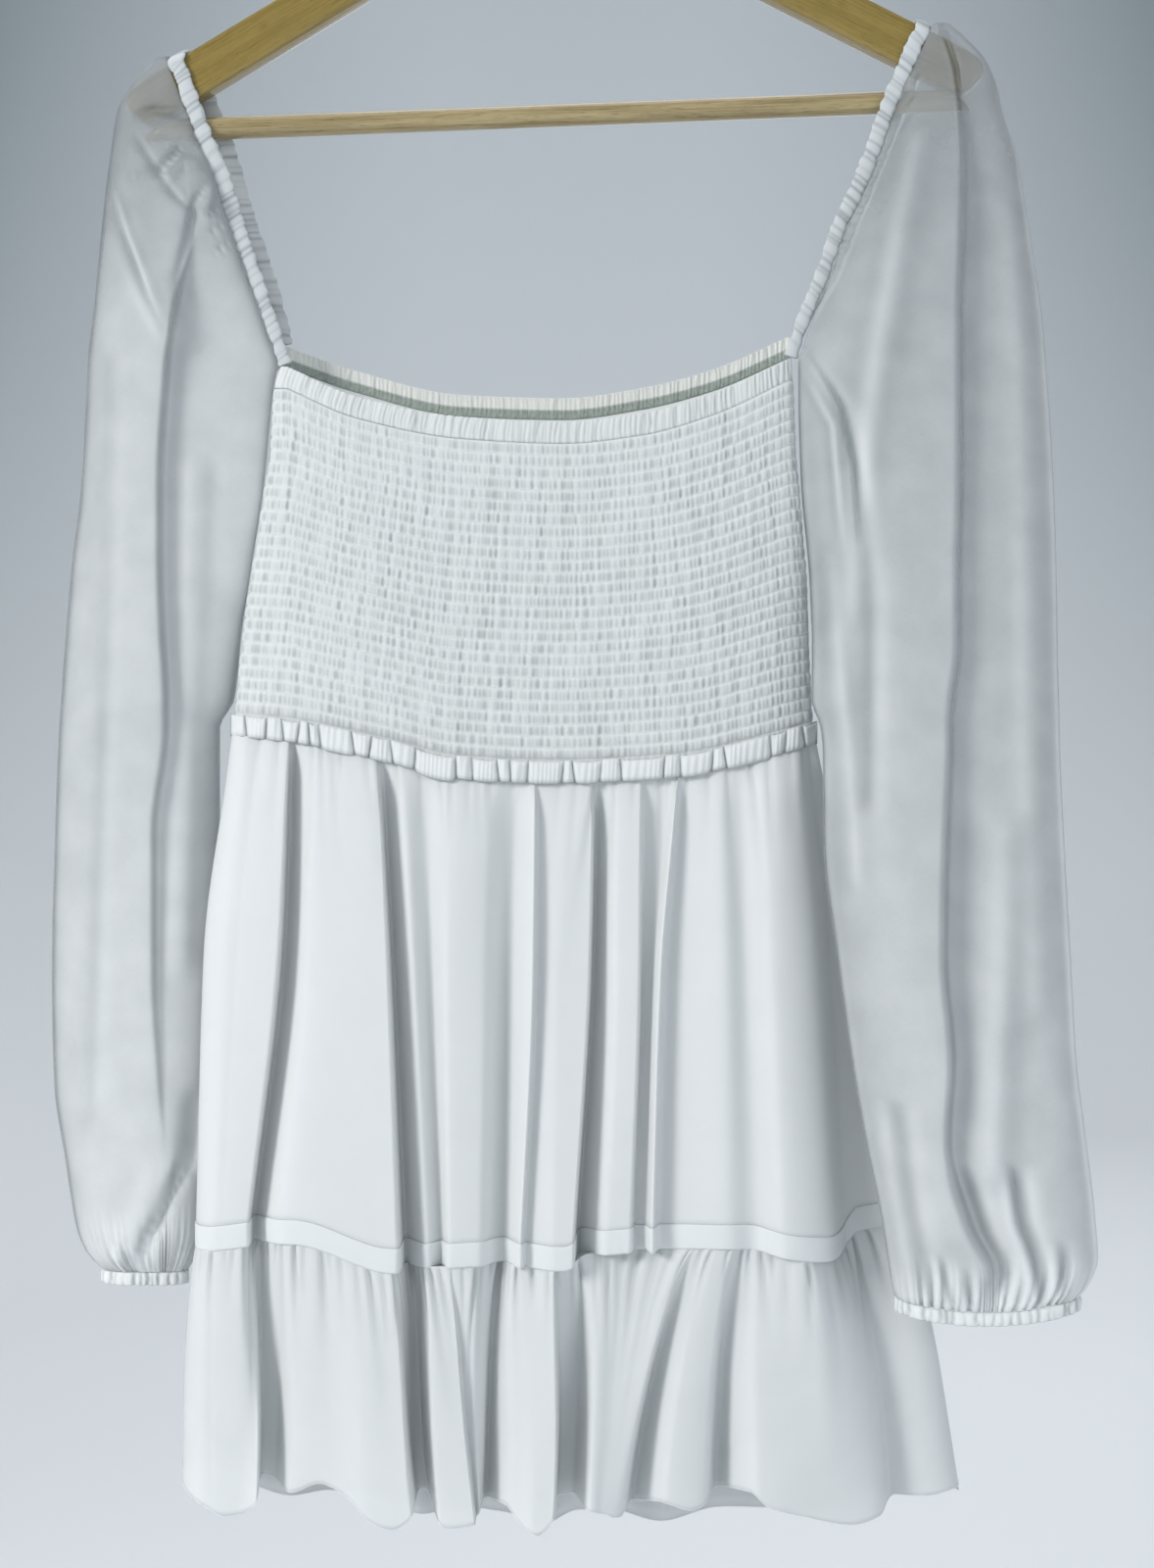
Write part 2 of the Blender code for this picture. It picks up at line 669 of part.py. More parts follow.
def subdivided(grid, parts):
    """The grid with each stretch between two columns cut into equal straight parts."""
    columns = grid.shape[1]
    place = np.linspace(0, columns - 1, (columns - 1) * parts + 1)
    near = np.minimum(place.astype(int), columns - 2)
    share = (place - near)[:, None]
    return grid[:, near] * (1 - share) + grid[:, near + 1] * share


def neck_casing(face, material, collection):
    """The gathered band along the neck edge, above the shirring."""
    edges = (below_neck(face, 0.0), below_neck(face, NECK_CASING_HEIGHT - SEAM_GAP))
    grid = bodice_grid(face, spread(SMOCKED_COLUMNS[face]), np.linspace(0, 1, 3), *edges)
    away = subdivided(outward(grid), NECK_CASING_HALF_GATHERS)
    inner = subdivided(moved_out(grid, -SMOCKED_WALL), NECK_CASING_HALF_GATHERS)[[0, -1]]
    grid = subdivided(grid, NECK_CASING_HALF_GATHERS)
    ridge = np.where(np.arange(grid.shape[1]) % 2 == 1, NECK_CASING_RELIEF, 0.0)
    swell = np.array([0.5, 1.0, 0.6])[:, None]
    outer = grid + away * (swell * ridge)[..., None]
    return cloth_wall(f"neck_casing_{face}", outer, inner, material, collection)


def waist_frill(face, material, collection):
    """The gathered header that stands on the waist seam, in boxy puffs."""
    count = 3 * FRILL_GATHERS[face] + 1
    s = np.linspace(-1, 1, count) * 0.8 + spread(count) * 0.2
    depth = BODICE["depth"][-1] * (1 if face == "front" else BACK_DEPTH_SHARE) + FRILL_CLEARANCE
    y = SEAM_GAP / 2 + depth * rounded(s)
    y = -y if face == "front" else y
    left = BODICE["left"][-1] - FRILL_CLEARANCE
    right = BODICE["right"][-1] + FRILL_CLEARANCE
    across = (left + right) / 2 + (right - left) / 2 * s
    wave = 0.5 - 0.5 * np.cos(np.arange(count) * 2 * math.pi / 3)
    wave *= 0.8 + 0.3 * np.sin(np.arange(count) * 1.9)
    wave[[0, -1]] = FRILL_END_RISE
    rows = []
    for share in (-0.5, 0.0, 0.5):
        rows.append(np.column_stack(point(across, y, WAIST.at("drop", across) + share * FRILL_HEIGHT)))
    grid = np.array(rows)
    if face == "back":
        grid = grid[:, ::-1]
    swell = np.array([0.7, 1.0, 0.8])[:, None]
    inner = moved_out(grid, (FRILL_RELIEF * swell * wave)[..., None])
    return cloth_wall(f"waist_frill_{face}", moved_out(inner, FRILL_WALL), inner, material, collection)


def between_stations(columns, share):
    """Each fold line's value at a share of the way down, from its values at the stations."""
    return np.array([smooth(SKIRT_STATIONS, line, share) for line in zip(*columns)])


def across_lines(values, parts):
    """Values read between the fold lines, with parts steps from each line to the next."""
    count = len(values)
    return smooth(np.arange(count), values, np.linspace(0, count - 1, (count - 1) * parts + 1))


def round_the_ends(lines_x, lines_y, x, y, parts):
    """Turns the first and last stretch of a section into quarter rounds, as cloth turns at a side seam."""
    quarter = np.linspace(0, math.pi / 2, parts + 1)
    for end, near, run in ((0, 1, slice(0, parts + 1)), (-1, -2, slice(None, -parts - 2, -1))):
        x[run] = lines_x[end] + (lines_x[near] - lines_x[end]) * (1 - np.cos(quarter))
        y[run] = lines_y[end] + (lines_y[near] - lines_y[end]) * np.sin(quarter)
    return x, y


def waist_depth(across, face):
    """The depth of the skirt's top edge, just outside the bodice's lower edge."""
    left = BODICE["left"][-1] - SKIRT_WAIST_WIDENING
    right = BODICE["right"][-1] + SKIRT_WAIST_WIDENING
    s = np.clip((across - (left + right) / 2) / ((right - left) / 2), -1, 1)
    depth = BODICE["depth"][-1] * (1 if face == "front" else BACK_DEPTH_SHARE) + SKIRT_WAIST_CLEARANCE
    return (-depth if face == "front" else depth) * rounded(s)


def skirt_section(face, share, parts):
    """Seen places across and depths of the upper skirt, a share of the way from waist to tier seam."""
    table = SKIRT_FRONT if face == "front" else SKIRT_BACK
    waist_y = waist_depth(table["waist_x"], face)
    lines_x = between_stations((table["waist_x"], table["mid_x"], table["tier_x"]), share)
    lines_y = between_stations((waist_y, table["mid_y"], table["tier_y"]), share)
    lines_y[[0, -1]] += -SEAM_GAP / 2 if face == "front" else SEAM_GAP / 2
    x = across_lines(lines_x, parts)
    y = across_lines(lines_y, parts)
    x, y = round_the_ends(lines_x, lines_y, x, y, parts)
    if share == 0:
        y[1:-1] = waist_depth(x, face)[1:-1]
    return x, y


def skirt_grid(face, shares, parts):
    rows = []
    for share in shares:
        x, y = skirt_section(face, share, parts)
        top_x, _ = skirt_section(face, 0, parts)
        top = drawn_in(WAIST.at("drop", top_x) + SKIRT_TOP_SET, EYE_DROP, y)
        level = top + (TIER_LEVEL.at("drop", x) - top) * share
        rows.append(np.column_stack(point(x, y, None, level)))
    grid = np.array(rows)
    return grid if face == "front" else grid[:, ::-1]


def skirt_tier(face, material, collection):
    """The upper skirt, falling in long soft folds from the waist."""
    outer = skirt_grid(face, np.array([0, 0.12, 0.3, 0.55, 0.8, 1]), 2)
    inner = in_order(moved_out(outer, -CLOTH_WALL))
    return cloth_wall(f"skirt_{face}", outer, inner, material, collection)


def tier_band(face, material, collection):
    """The strip of doubled cloth between the upper skirt and the flounce."""
    seam = skirt_grid(face, (1.0,), 2)[0]
    top = seam - (0, 0, SEAM_GAP)
    bottom = seam - (0, 0, TIER_BAND_HEIGHT)
    outer = in_order(moved_out(np.array([top, bottom]), TIER_BAND_STAND))
    inner = in_order(moved_out(outer, -TIER_BAND_WALL))
    return cloth_wall(f"tier_band_{face}", outer, inner, material, collection)


def flounce_grid(face, shares, parts):
    table = FLOUNCE_FRONT if face == "front" else FLOUNCE_BACK
    hem = HEM_FRONT if face == "front" else HEM_BACK
    seam_x, seam_y = skirt_section(face, 1, 2)
    order = np.argsort(seam_x)
    top_y = np.interp(table["top_x"], seam_x[order], seam_y[order])
    seam_level = TIER_LEVEL.at("drop", seam_x)[order] + TIER_BAND_HEIGHT + FLOUNCE_TOP_SET
    hem_y = table["hem_y"].copy()
    hem_y[[0, -1]] += -SEAM_GAP / 2 if face == "front" else SEAM_GAP / 2
    rows = []
    for share in shares:
        opened = share**FLOUNCE_OPENING_POWER
        lines_x = table["top_x"] + (table["hem_x"] - table["top_x"]) * opened
        lines_y = top_y + (hem_y - top_y) * opened
        x = across_lines(lines_x, parts)
        y = across_lines(lines_y, parts)
        x, y = round_the_ends(lines_x, lines_y, x, y, parts)
        gather = FLOUNCE_GATHER * (1 - share) ** 2 * (-1.0) ** np.arange(len(x))
        gather[[0, 1, -2, -1]] = 0
        top = np.interp(x, seam_x[order], seam_level)
        level = top + (hem.at("drop", x) - top) * share
        rows.append(np.column_stack(point(x, y + gather, None, level)))
    grid = np.array(rows)
    return grid if face == "front" else grid[:, ::-1]


def flounce(face, material, collection):
    """The gathered flounce, opening from small gathers at its top into deep folds at the hem."""
    outer = flounce_grid(face, np.array([0, 0.1, 0.3, 0.6, 0.85, 1]), 2)
    inner = in_order(moved_out(outer, -CLOTH_WALL))
    return cloth_wall(f"flounce_{face}", outer, inner, material, collection)


def casing_side(side, y, drop):
    """Where the sleeve's inner edge lies against the head casing, at a depth from its front to its back."""
    share = np.clip((y + HEAD_CASING_Y) / (2 * HEAD_CASING_Y), 0, 1)
    table = HEAD_CASING[side]
    middle = table.at("front", drop) * (1 - share) + table.at("back", drop) * share
    bend = smooth(table["drop"][0] + (0, HEAD_CASING_BEND_REACH), (HEAD_CASING_BEND_CLEARANCE, 0), drop)
    return middle + SLEEVE_SIDE[side] * (HEAD_CASING_WIDTH / 2 + HEAD_CASING_CLEARANCE + bend)


def sleeve_ring(side, drop, front_count, back_count):
    """One ring of a sleeve as points from its front inner edge, round its outer side, to its back one."""
    table = SLEEVE[side]
    value = {name: table.at(name, drop) for name in table.columns if name != "drop"}
    middle = (value["front"] + value["back"]) / 2
    squareness = SLEEVE_SQUARENESS.at("power", drop)
    droop = SLEEVE_DROOP[side] * SLEEVE_DROOP_SHARE.at("share", drop)
    sheets = []
    for stretch, count, way in (("front", front_count, -1), ("back", back_count, 1)):
        s = spread(count)
        stand = rounded(s, squareness)
        inner = value["inner"]
        if drop < NECK_CORNER[side][0]:
            inner = casing_side(side, way * value["gap"], drop)
        across = inner + (value["outer"] - inner) * (s + 1) / 2
        end = np.where(s < 0, value["seam_y"] + way * value["gap"], middle)
        y = value[stretch] + (end - value[stretch]) * (1 - stand)
        if stretch == "front":
            forward = 1 / (1 + np.exp((across - value["fold"]) / SLEEVE_FOLD_SOFTNESS))
            y -= value["step"] * (forward - 0.5) * stand**2
        level = drawn_in(drop, EYE_DROP, middle) + droop * (1 - s * s) * (way < 0)
        sheets.append(np.column_stack(point(across, y, None, level)))
    return np.vstack([sheets[0], sheets[1][-2::-1]])


def sleeve_grid(side, drops, front_count, back_count):
    grid = np.array([sleeve_ring(side, drop, front_count, back_count) for drop in drops])
    return grid if side == "right" else grid[:, ::-1]


def sleeve(side, material, collection):
    """A long full sleeve, open along its inner edge down to the underarm and seamed below it."""
    outer = sleeve_grid(side, SLEEVE[side]["drop"], 12, 8)
    seamed = SLEEVE[side]["gap"] < SEAM_GAP
    away = np.where(seamed[:, None, None], outward(outer), outward(outer, False))
    over_the_arm = slice(2, 5)
    away[over_the_arm, [0, -1]] = away[over_the_arm, [1, -2]]
    inner = outer - away * CLOTH_WALL
    inner[0] = outer[0] * (1, 0.5, 1) - (0, 0, SLEEVE_TOP_WALL)
    inner[1] = (inner[0] + inner[2]) / 2
    return cloth_wall(f"sleeve_{side}", outer, inner, material, collection)


def cuff(side, material, collection):
    """The gathered elastic band at the sleeve's end, carried down from its last ring."""
    last = sleeve_grid(side, SLEEVE[side]["drop"][-1:], 24, 18)[0]
    rows = [last - (0, 0, SEAM_GAP + share * CUFF_HEIGHT) for share in (0, 0.5, 1)]
    grid = np.array(rows)
    ridge = np.where(np.arange(len(last)) % 2 == 1, CUFF_RELIEF, 0)
    ridge[[0, -1]] = 0
    swell = np.array([0.5, 1.0, 0.7])[:, None]
    outer = moved_out(grid, (swell * ridge)[..., None])
    return cloth_wall(f"cuff_{side}", outer, moved_out(grid, -CLOTH_WALL)[[0, -1]], material, collection)


def casing_route(side, spacing):
    """The middle line of a head casing: up the front, over the arm and down the back."""
    table = HEAD_CASING[side]
    hand = SLEEVE_SIDE[side]
    front_corner, back_corner = NECK_CORNER[side]
    clear = HEAD_CASING_Y - WOOD_THICKNESS / 2
    bend = WOOD_EDGE + clear
    top_front = arm_top_drop(table.at("front", arm_top_drop(hand * ARM_REACH, hand)), hand)
    route = []
    for drop in np.arange(front_corner, top_front + WOOD_EDGE, -spacing):
        route.append(point(table.at("front", drop), -HEAD_CASING_Y, drop))
    for turn in np.radians((15, 45, 75, 90, 105, 135, 165)):
        y = -math.copysign(1, math.cos(turn)) * (WOOD_THICKNESS / 2 - WOOD_EDGE)
        y -= bend * math.cos(turn) if abs(math.cos(turn)) > 0.01 else y
        share = (y + HEAD_CASING_Y) / (2 * HEAD_CASING_Y)
        across = table.at("front", top_front) * (1 - share) + table.at("back", top_front) * share
        rise = bend * math.sin(turn) - WOOD_EDGE
        route.append((across, y, -(arm_top_drop(across, hand) - rise * 1.13)))
    drops = np.arange(back_corner, top_front + WOOD_EDGE, -spacing)[::-1]
    for drop in drops:
        route.append(point(table.at("back", drop), HEAD_CASING_Y, drop))
    return np.array(route)


def head_casing(side, material, collection):
    """A narrow gathered tube, flattened, along its route round the sleeve head."""
    route = casing_route(side, HEAD_CASING_RING_SPACING)
    tangents = np.gradient(route, axis=0)
    tangents /= np.linalg.norm(tangents, axis=1, keepdims=True)
    lean = np.array(HEAD_CASING_LEAN[side])
    bm = bmesh.new()
    rings = []
    for i, (place, along) in enumerate(zip(route, tangents)):
        wide = lean - along * along.dot(lean)
        wide /= np.linalg.norm(wide)
        thick = np.cross(along, wide)
        full = 1.0 if i % 2 else HEAD_CASING_PINCH
        ring = []
        for turn in np.radians(np.arange(0, 360, 60)):
            flat = wide * math.cos(turn) * HEAD_CASING_WIDTH / 2
            raised = thick * math.sin(turn) / math.sin(math.pi / 3) * HEAD_CASING_THICKNESS / 2 * full
            ring.append(bm.verts.new((place + flat + raised) * MM))
        rings.append(ring)
    for ring, following in zip(rings, rings[1:]):
        for k in range(len(ring)):
            bm.faces.new((ring[k - 1], ring[k], following[k], following[k - 1]))
    bm.faces.new(rings[0])
    bm.faces.new(rings[-1])
    face_out(bm)
    mesh = bpy.data.meshes.new(f"head_casing_{side}")
    bm.to_mesh(mesh)
    bm.free()
    mesh.shade_smooth()
    return add_piece(f"head_casing_{side}", mesh, material, collection)


def build_hanger(collection):
    pivot = bpy.data.objects.new("hanger_pivot", None)
    pivot.rotation_euler = (0, -math.radians(HANGER_TILT), 0)
    collection.objects.link(pivot)
    hanger_body(pivot, finish("varnished wood", (0.45, 0.30, 0.11), 0.35), collection)
    hanger_bar(pivot, finish("pale bar wood", (0.50, 0.38, 0.19), 0.45), collection)
    hanger_hook(pivot, finish("hook steel", (0.70, 0.70, 0.69), 0.25, 1.0), collection)


def build_dress(collection):
    for face in ("front", "back"):
        smocked_panel(face, finish(f"shirred {face}", (0.80, 0.82, 0.82), 0.8), collection)
        neck_casing(face, finish(f"neck casing {face}", (0.84, 0.86, 0.86), 0.8), collection)
        waist_frill(face, finish(f"frill {face}", (0.85, 0.87, 0.88), 0.8), collection)
        skirt_tier(face, finish(f"chiffon skirt {face}", (0.82, 0.84, 0.86), 0.75), collection)
        tier_band(face, finish(f"doubled strip {face}", (0.88, 0.90, 0.91), 0.8), collection)
        flounce(face, finish(f"flounce {face}", (0.84, 0.86, 0.88), 0.75), collection)
    for side in ("left", "right"):
        sleeve(side, finish(f"sheer sleeve {side}", (0.74, 0.78, 0.80), 0.7), collection)
        head_casing(side, finish(f"head casing {side}", (0.86, 0.88, 0.89), 0.8), collection)
        cuff(side, finish(f"cuff {side}", (0.86, 0.88, 0.89), 0.8), collection)


def main():
    for thing in list(bpy.data.objects):
        bpy.data.objects.remove(thing)
    dress = bpy.data.collections.new("mini dress on a hanger")
    bpy.context.scene.collection.children.link(dress)
    build_hanger(dress)
    build_dress(dress)


main()
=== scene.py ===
import math
from collections import namedtuple

import bmesh
import bpy
import numpy as np
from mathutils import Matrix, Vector


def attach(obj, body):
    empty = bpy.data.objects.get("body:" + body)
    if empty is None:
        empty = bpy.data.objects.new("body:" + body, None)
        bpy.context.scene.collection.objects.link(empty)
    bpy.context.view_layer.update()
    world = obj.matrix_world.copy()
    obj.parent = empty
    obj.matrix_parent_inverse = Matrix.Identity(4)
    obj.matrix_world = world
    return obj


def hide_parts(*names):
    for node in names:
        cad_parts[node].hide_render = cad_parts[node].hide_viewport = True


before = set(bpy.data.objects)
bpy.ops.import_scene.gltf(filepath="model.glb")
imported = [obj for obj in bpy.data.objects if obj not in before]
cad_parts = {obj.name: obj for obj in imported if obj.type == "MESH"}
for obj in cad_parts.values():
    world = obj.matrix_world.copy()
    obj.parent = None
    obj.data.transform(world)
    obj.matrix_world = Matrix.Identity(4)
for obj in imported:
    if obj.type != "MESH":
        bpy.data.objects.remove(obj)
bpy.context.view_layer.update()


# The camera stands 1.1 m in front of the hanging dress, level with its middle, and looks straight at it.
# Widths and drops below are millimetres, read from there at the hanger's depth. A drop is a distance below
# the inner top of the hook.
MM = 0.001
EYE_X = 14.5
EYE_DROP = 548.0
EYE_DISTANCE = 1111.0
LENS = 50.0
FILM = 36.0

camera = bpy.data.objects.new("camera", bpy.data.cameras.new("camera"))
camera.data.lens = LENS
camera.data.sensor_width = FILM
camera.location = (EYE_X * MM, -EYE_DISTANCE * MM, -EYE_DROP * MM)
camera.rotation_euler = (math.pi / 2, 0, 0)
bpy.context.scene.collection.objects.link(camera)
bpy.context.scene.camera = camera


# The hanger's body: both arms are one piece of varnished wood, 12 mm thick with its edges just rounded,
# a little tilted on its hook. Its grain runs along the arms.
WOOD_THICKNESS = 12.0
HANGER_TILT = math.radians(2.2)
WOOD_SHIFT = (-4.0, 2.2)
WOOD_SQUARENESS = 8.0
TIP_START = 213.0
TIP_THICKNESS_SHARE = 0.75
TIP_HEIGHT_SHARE = 0.7


def smooth(keys, values, key):
    """The value at a key, read along a curve that never overshoots the values it passes through."""
    order = np.argsort(keys)
    keys = np.asarray(keys, float)[order]
    values = np.asarray(values, float)[order]
    step = np.diff(keys)
    rise = np.diff(values) / step
    slope = np.zeros(len(keys))
    slope[0] = rise[0]
    slope[-1] = rise[-1]
    turning = rise[:-1] * rise[1:] <= 0
    total = np.where(turning, 1.0, rise[:-1] + rise[1:])
    slope[1:-1] = np.where(turning, 0.0, 2 * rise[:-1] * rise[1:] / total)
    key = np.clip(key, keys[0], keys[-1])
    i = np.clip(np.searchsorted(keys, key) - 1, 0, len(keys) - 2)
    t = (key - keys[i]) / step[i]
    start = values[i] * (1 + 2 * t) * (1 - t) ** 2 + slope[i] * step[i] * t * (1 - t) ** 2
    end = values[i + 1] * t * t * (3 - 2 * t) + slope[i + 1] * step[i] * t * t * (t - 1)
    return start + end


class Table:
    """Rows of numbers with named columns, read between the rows by the first column."""

    def __init__(self, columns, *rows):
        names = columns.split()
        self.columns = dict(zip(names, np.array(rows, float).T))
        self.key = names[0]

    def __getitem__(self, name):
        return self.columns[name]

    def at(self, name, key):
        return smooth(self.columns[self.key], self.columns[name], key)


class Wire:
    """A socket in a material's nodes, which adds Math nodes as it is reckoned with."""

    def __init__(self, tree, socket=None):
        self.tree = tree
        self.socket = socket

    def node(self, kind, inputs=(), output=0, **settings):
        """Any node: its type, the values or wires of its sockets, its settings, and the output to read."""
        made = self.tree.nodes.new(kind)
        for name, value in settings.items():
            setattr(made, name, value)
        for name, value in dict(inputs).items():
            if isinstance(value, Wire):
                self.tree.links.new(value.socket, made.inputs[name])
            else:
                made.inputs[name].default_value = value
        return Wire(self.tree, made.outputs[output])

    def maths(self, operation, *values):
        return self.node("ShaderNodeMath", enumerate(values), operation=operation)

    def __add__(self, other):
        return self.maths("ADD", self, other)

    def __mul__(self, other):
        return self.maths("MULTIPLY", self, other)

    def mixed(self, low, high):
        """A colour between two, by this factor."""
        colours = {6: low if isinstance(low, Wire) else (*low, 1), 7: (*high, 1)}
        return self.node("ShaderNodeMix", {0: self, **colours}, output=2, data_type="RGBA")

    def ranged(self, low, high, least=0.0, most=1.0):
        return self.node("ShaderNodeMapRange", {0: self, 1: low, 2: high, 3: least, 4: most})

    def scaled(self, x, y, z):
        return self.node("ShaderNodeVectorMath", {0: self, 1: (x, y, z)}, operation="MULTIPLY")

    def noise(self, scale, detail=2.0):
        return self.node("ShaderNodeTexNoise", {"Vector": self, "Scale": scale, "Detail": detail})


def finish(name, **constants):
    """A new material, a wire for adding its nodes, and its shader with its constant sockets set."""
    material = bpy.data.materials.new(name)
    material.use_nodes = True
    shader = material.node_tree.nodes["Principled BSDF"]
    for socket, value in constants.items():
        shader.inputs[socket.replace("_", " ")].default_value = value
    return material, Wire(material.node_tree), shader


def dress_up(wire, shader, colour=None, roughness=None, alpha=None, height=None, bump=0.3, distance=0.0003):
    """Links the wires that change over a surface."""
    links = wire.tree.links
    if colour is not None:
        links.new(colour.socket, shader.inputs["Base Color"])
    if roughness is not None:
        links.new(roughness.socket, shader.inputs["Roughness"])
    if alpha is not None:
        links.new(alpha.socket, shader.inputs["Alpha"])
    if height is not None:
        settings = {"Strength": bump, "Distance": distance, "Height": height}
        links.new(wire.node("ShaderNodeBump", settings).socket, shader.inputs["Normal"])


def add_piece(name, points, faces, material, laid):
    """A smooth mesh in millimetres, each point with its place in the flat cloth or along the grain."""
    mesh = bpy.data.meshes.new(name)
    mesh.from_pydata((np.asarray(points) * MM).tolist(), [], faces)
    mesh.materials.append(material)
    mesh.shade_smooth()
    places = mesh.attributes.new("laid", "FLOAT_VECTOR", "POINT")
    places.data.foreach_set("vector", np.asarray(laid, np.float32).ravel())
    piece = bpy.data.objects.new(name, mesh)
    bpy.context.scene.collection.objects.link(piece)
    return piece


def lofted(name, rings, material, laid):
    """A closed skin over a row of closed rings, flat at both ends."""
    count, around = rings.shape[:2]
    index = np.arange(count * around).reshape(count, around)
    after = np.roll(index, -1, axis=1)
    faces = np.stack([index[:-1], index[1:], after[1:], after[:-1]], axis=-1).reshape(-1, 4).tolist()
    faces += [index[0].tolist(), index[-1][::-1].tolist()]
    return add_piece(name, rings.reshape(-1, 3), faces, material, laid.reshape(-1, 3))


def squared(waves, power):
    """A circle's sines or cosines pushed outwards, for a section between a round and a rectangle."""
    return np.sign(waves) * np.abs(waves) ** power


def mirrored(half_row, sign=1):
    """A row of values from tip to tip, from those of its right-hand half."""
    return np.concatenate([sign * half_row[:0:-1], half_row])


def tilted(out, drop):
    """A point of the hanger's own frame, in the dress's frame."""
    out = out + WOOD_SHIFT[0]
    drop = drop + WOOD_SHIFT[1]
    across = out * math.cos(HANGER_TILT) + drop * math.sin(HANGER_TILT)
    return across, drop * math.cos(HANGER_TILT) - out * math.sin(HANGER_TILT)


def varnished(name, dark, light, roughness):
    """Wood under varnish, with fine grain and broader figure along it."""
    material, wire, shader = finish(name, Coat_Weight=0.6, Coat_Roughness=0.12)
    laid = wire.node("ShaderNodeAttribute", attribute_name="laid", output=1)
    figure = laid.scaled(0.012, 0.16, 0.16).noise(1.0, 3.0)
    grain = laid.scaled(0.03, 1.3, 1.3).noise(1.0, 4.0)
    pores = laid.scaled(0.12, 4.0, 4.0).noise(1.0, 2.0)
    tone = (figure * 0.55 + grain * 0.45).ranged(0.38, 0.62)
    colour = pores.ranged(0.25, 0.42).mixed([c * 0.6 for c in dark], (1, 1, 1))
    colour = wire.node(
        "ShaderNodeMix",
        {0: 1.0, 6: tone.mixed(dark, light), 7: colour},
        output=2,
        data_type="RGBA",
        blend_type="MULTIPLY",
    )
    rough = grain.ranged(0.3, 0.7, roughness - 0.06, roughness + 0.08)
    dress_up(wire, shader, colour, rough, height=grain + pores * 0.5, bump=0.25, distance=0.0002)
    return material


HANGER_LINE = Table(
    "out drop half_height",
    (0, 79.0, 15.0),
    (16, 86.5, 13.2),
    (60, 110.0, 11.4),
    (120, 143.5, 11.3),
    (175, 174.0, 11.3),
    (201, 188.5, 11.2),
    (209, 193.5, 10.6),
    (213.5, 198.0, 7.0),
)
out = np.concatenate([np.linspace(0, 200, 56), np.linspace(202, 213.5, 12)])
drop = HANGER_LINE.at("drop", out)
half = HANGER_LINE.at("half_height", out)
lean = np.gradient(drop, out)
lean[0] = 0
out, lean = mirrored(out, -1), mirrored(lean, -1)
drop, half = mirrored(drop), mirrored(half)
half[[0, -1]] *= TIP_HEIGHT_SHARE
turn = np.linspace(0, 2 * math.pi, 57)[:-1]
up = squared(np.cos(turn), 2 / WOOD_SQUARENESS)
deep = squared(np.sin(turn), 2 / WOOD_SQUARENESS)
rise = half[:, None] * up
length = np.hypot(1, lean)[:, None]
across, below = tilted(out[:, None] + rise * lean[:, None] / length, drop[:, None] - rise / length)
thinned = np.where(np.abs(out) > TIP_START, TIP_THICKNESS_SHARE, 1.0)[:, None]
depth = np.broadcast_to(deep * WOOD_THICKNESS / 2, across.shape) * thinned
body_rings = np.stack([across, depth, -below], axis=-1)
body_laid = np.stack([np.broadcast_to(np.abs(out)[:, None], rise.shape), rise, depth], axis=-1)
wood = varnished("varnished wood", (0.215, 0.15, 0.028), (0.27, 0.192, 0.042), 0.26)
hanger_body = lofted("hanger_body_wood", body_rings, wood, body_laid)
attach(hanger_body, "root")
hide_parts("hanger_body")


# The hanger's bar: a round rod of paler wood across the triangle. Its ends are cut on the slant to sit
# along the undersides of the arms.
BAR_DROP = 204.8
BAR_RADIUS = 5.6
BAR_HALF_LENGTH = 197.0
BAR_END_SLANT = 1.25

turn = np.linspace(0, 2 * math.pi, 33)[:-1]
down = BAR_RADIUS * np.cos(turn)
reach = BAR_HALF_LENGTH + BAR_END_SLANT * (down + BAR_RADIUS)
along = np.linspace(-1, 1, 61)[:, None] * reach
across, below = tilted(along, BAR_DROP + down)
depth = np.broadcast_to(BAR_RADIUS * np.sin(turn), across.shape)
bar_rings = np.stack([across, depth, -below], axis=-1)
bar_laid = np.stack([along, np.broadcast_to(down, along.shape), depth], axis=-1)
pale_wood = varnished("pale bar wood", (0.24, 0.18, 0.075), (0.40, 0.32, 0.16), 0.34)
hanger_bar = lofted("hanger_bar_wood", bar_rings[:, ::-1], pale_wood, bar_laid[:, ::-1])
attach(hanger_bar, "root")
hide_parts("hanger_bar")


# The hanger's hook: 3.8 mm plated steel wire, bent round from its tip over the top and down into the
# middle of the wood.
HOOK_RADIUS = 19.5
WIRE_RADIUS = 1.9
STEM_END = 65.9

ring = HOOK_RADIUS + WIRE_RADIUS
turns = np.radians(np.linspace(205, -42, 60))
route = [(ring * math.cos(a), -HOOK_RADIUS + ring * math.sin(a)) for a in turns]
route += [(11.5, -37.2), (7.5, -40.0), (3.8, -42.4), (1.2, -44.5), (-0.9, -46.8), (-2.4, -49.5)]
route += [(-3.4, -52.2), (-4.0, -55.0), (WOOD_SHIFT[0], -STEM_END)]
bend = bpy.data.curves.new("hook", "CURVE")
bend.dimensions = "3D"
bend.bevel_depth = WIRE_RADIUS * MM
bend.bevel_resolution = 5
bend.use_fill_caps = True
spline = bend.splines.new("POLY")
spline.points.add(len(route) - 1)
for spot, (place, height) in zip(spline.points, route):
    x = place * math.cos(HANGER_TILT) - height * math.sin(HANGER_TILT)
    z = height * math.cos(HANGER_TILT) + place * math.sin(HANGER_TILT)
    spot.co = (x * MM, 0, z * MM, 1)
bent = bpy.data.objects.new("hook", bend)
bpy.context.scene.collection.objects.link(bent)
wire_mesh = bpy.data.meshes.new_from_object(bent.evaluated_get(bpy.context.evaluated_depsgraph_get()))
bpy.data.objects.remove(bent)
welded = bmesh.new()
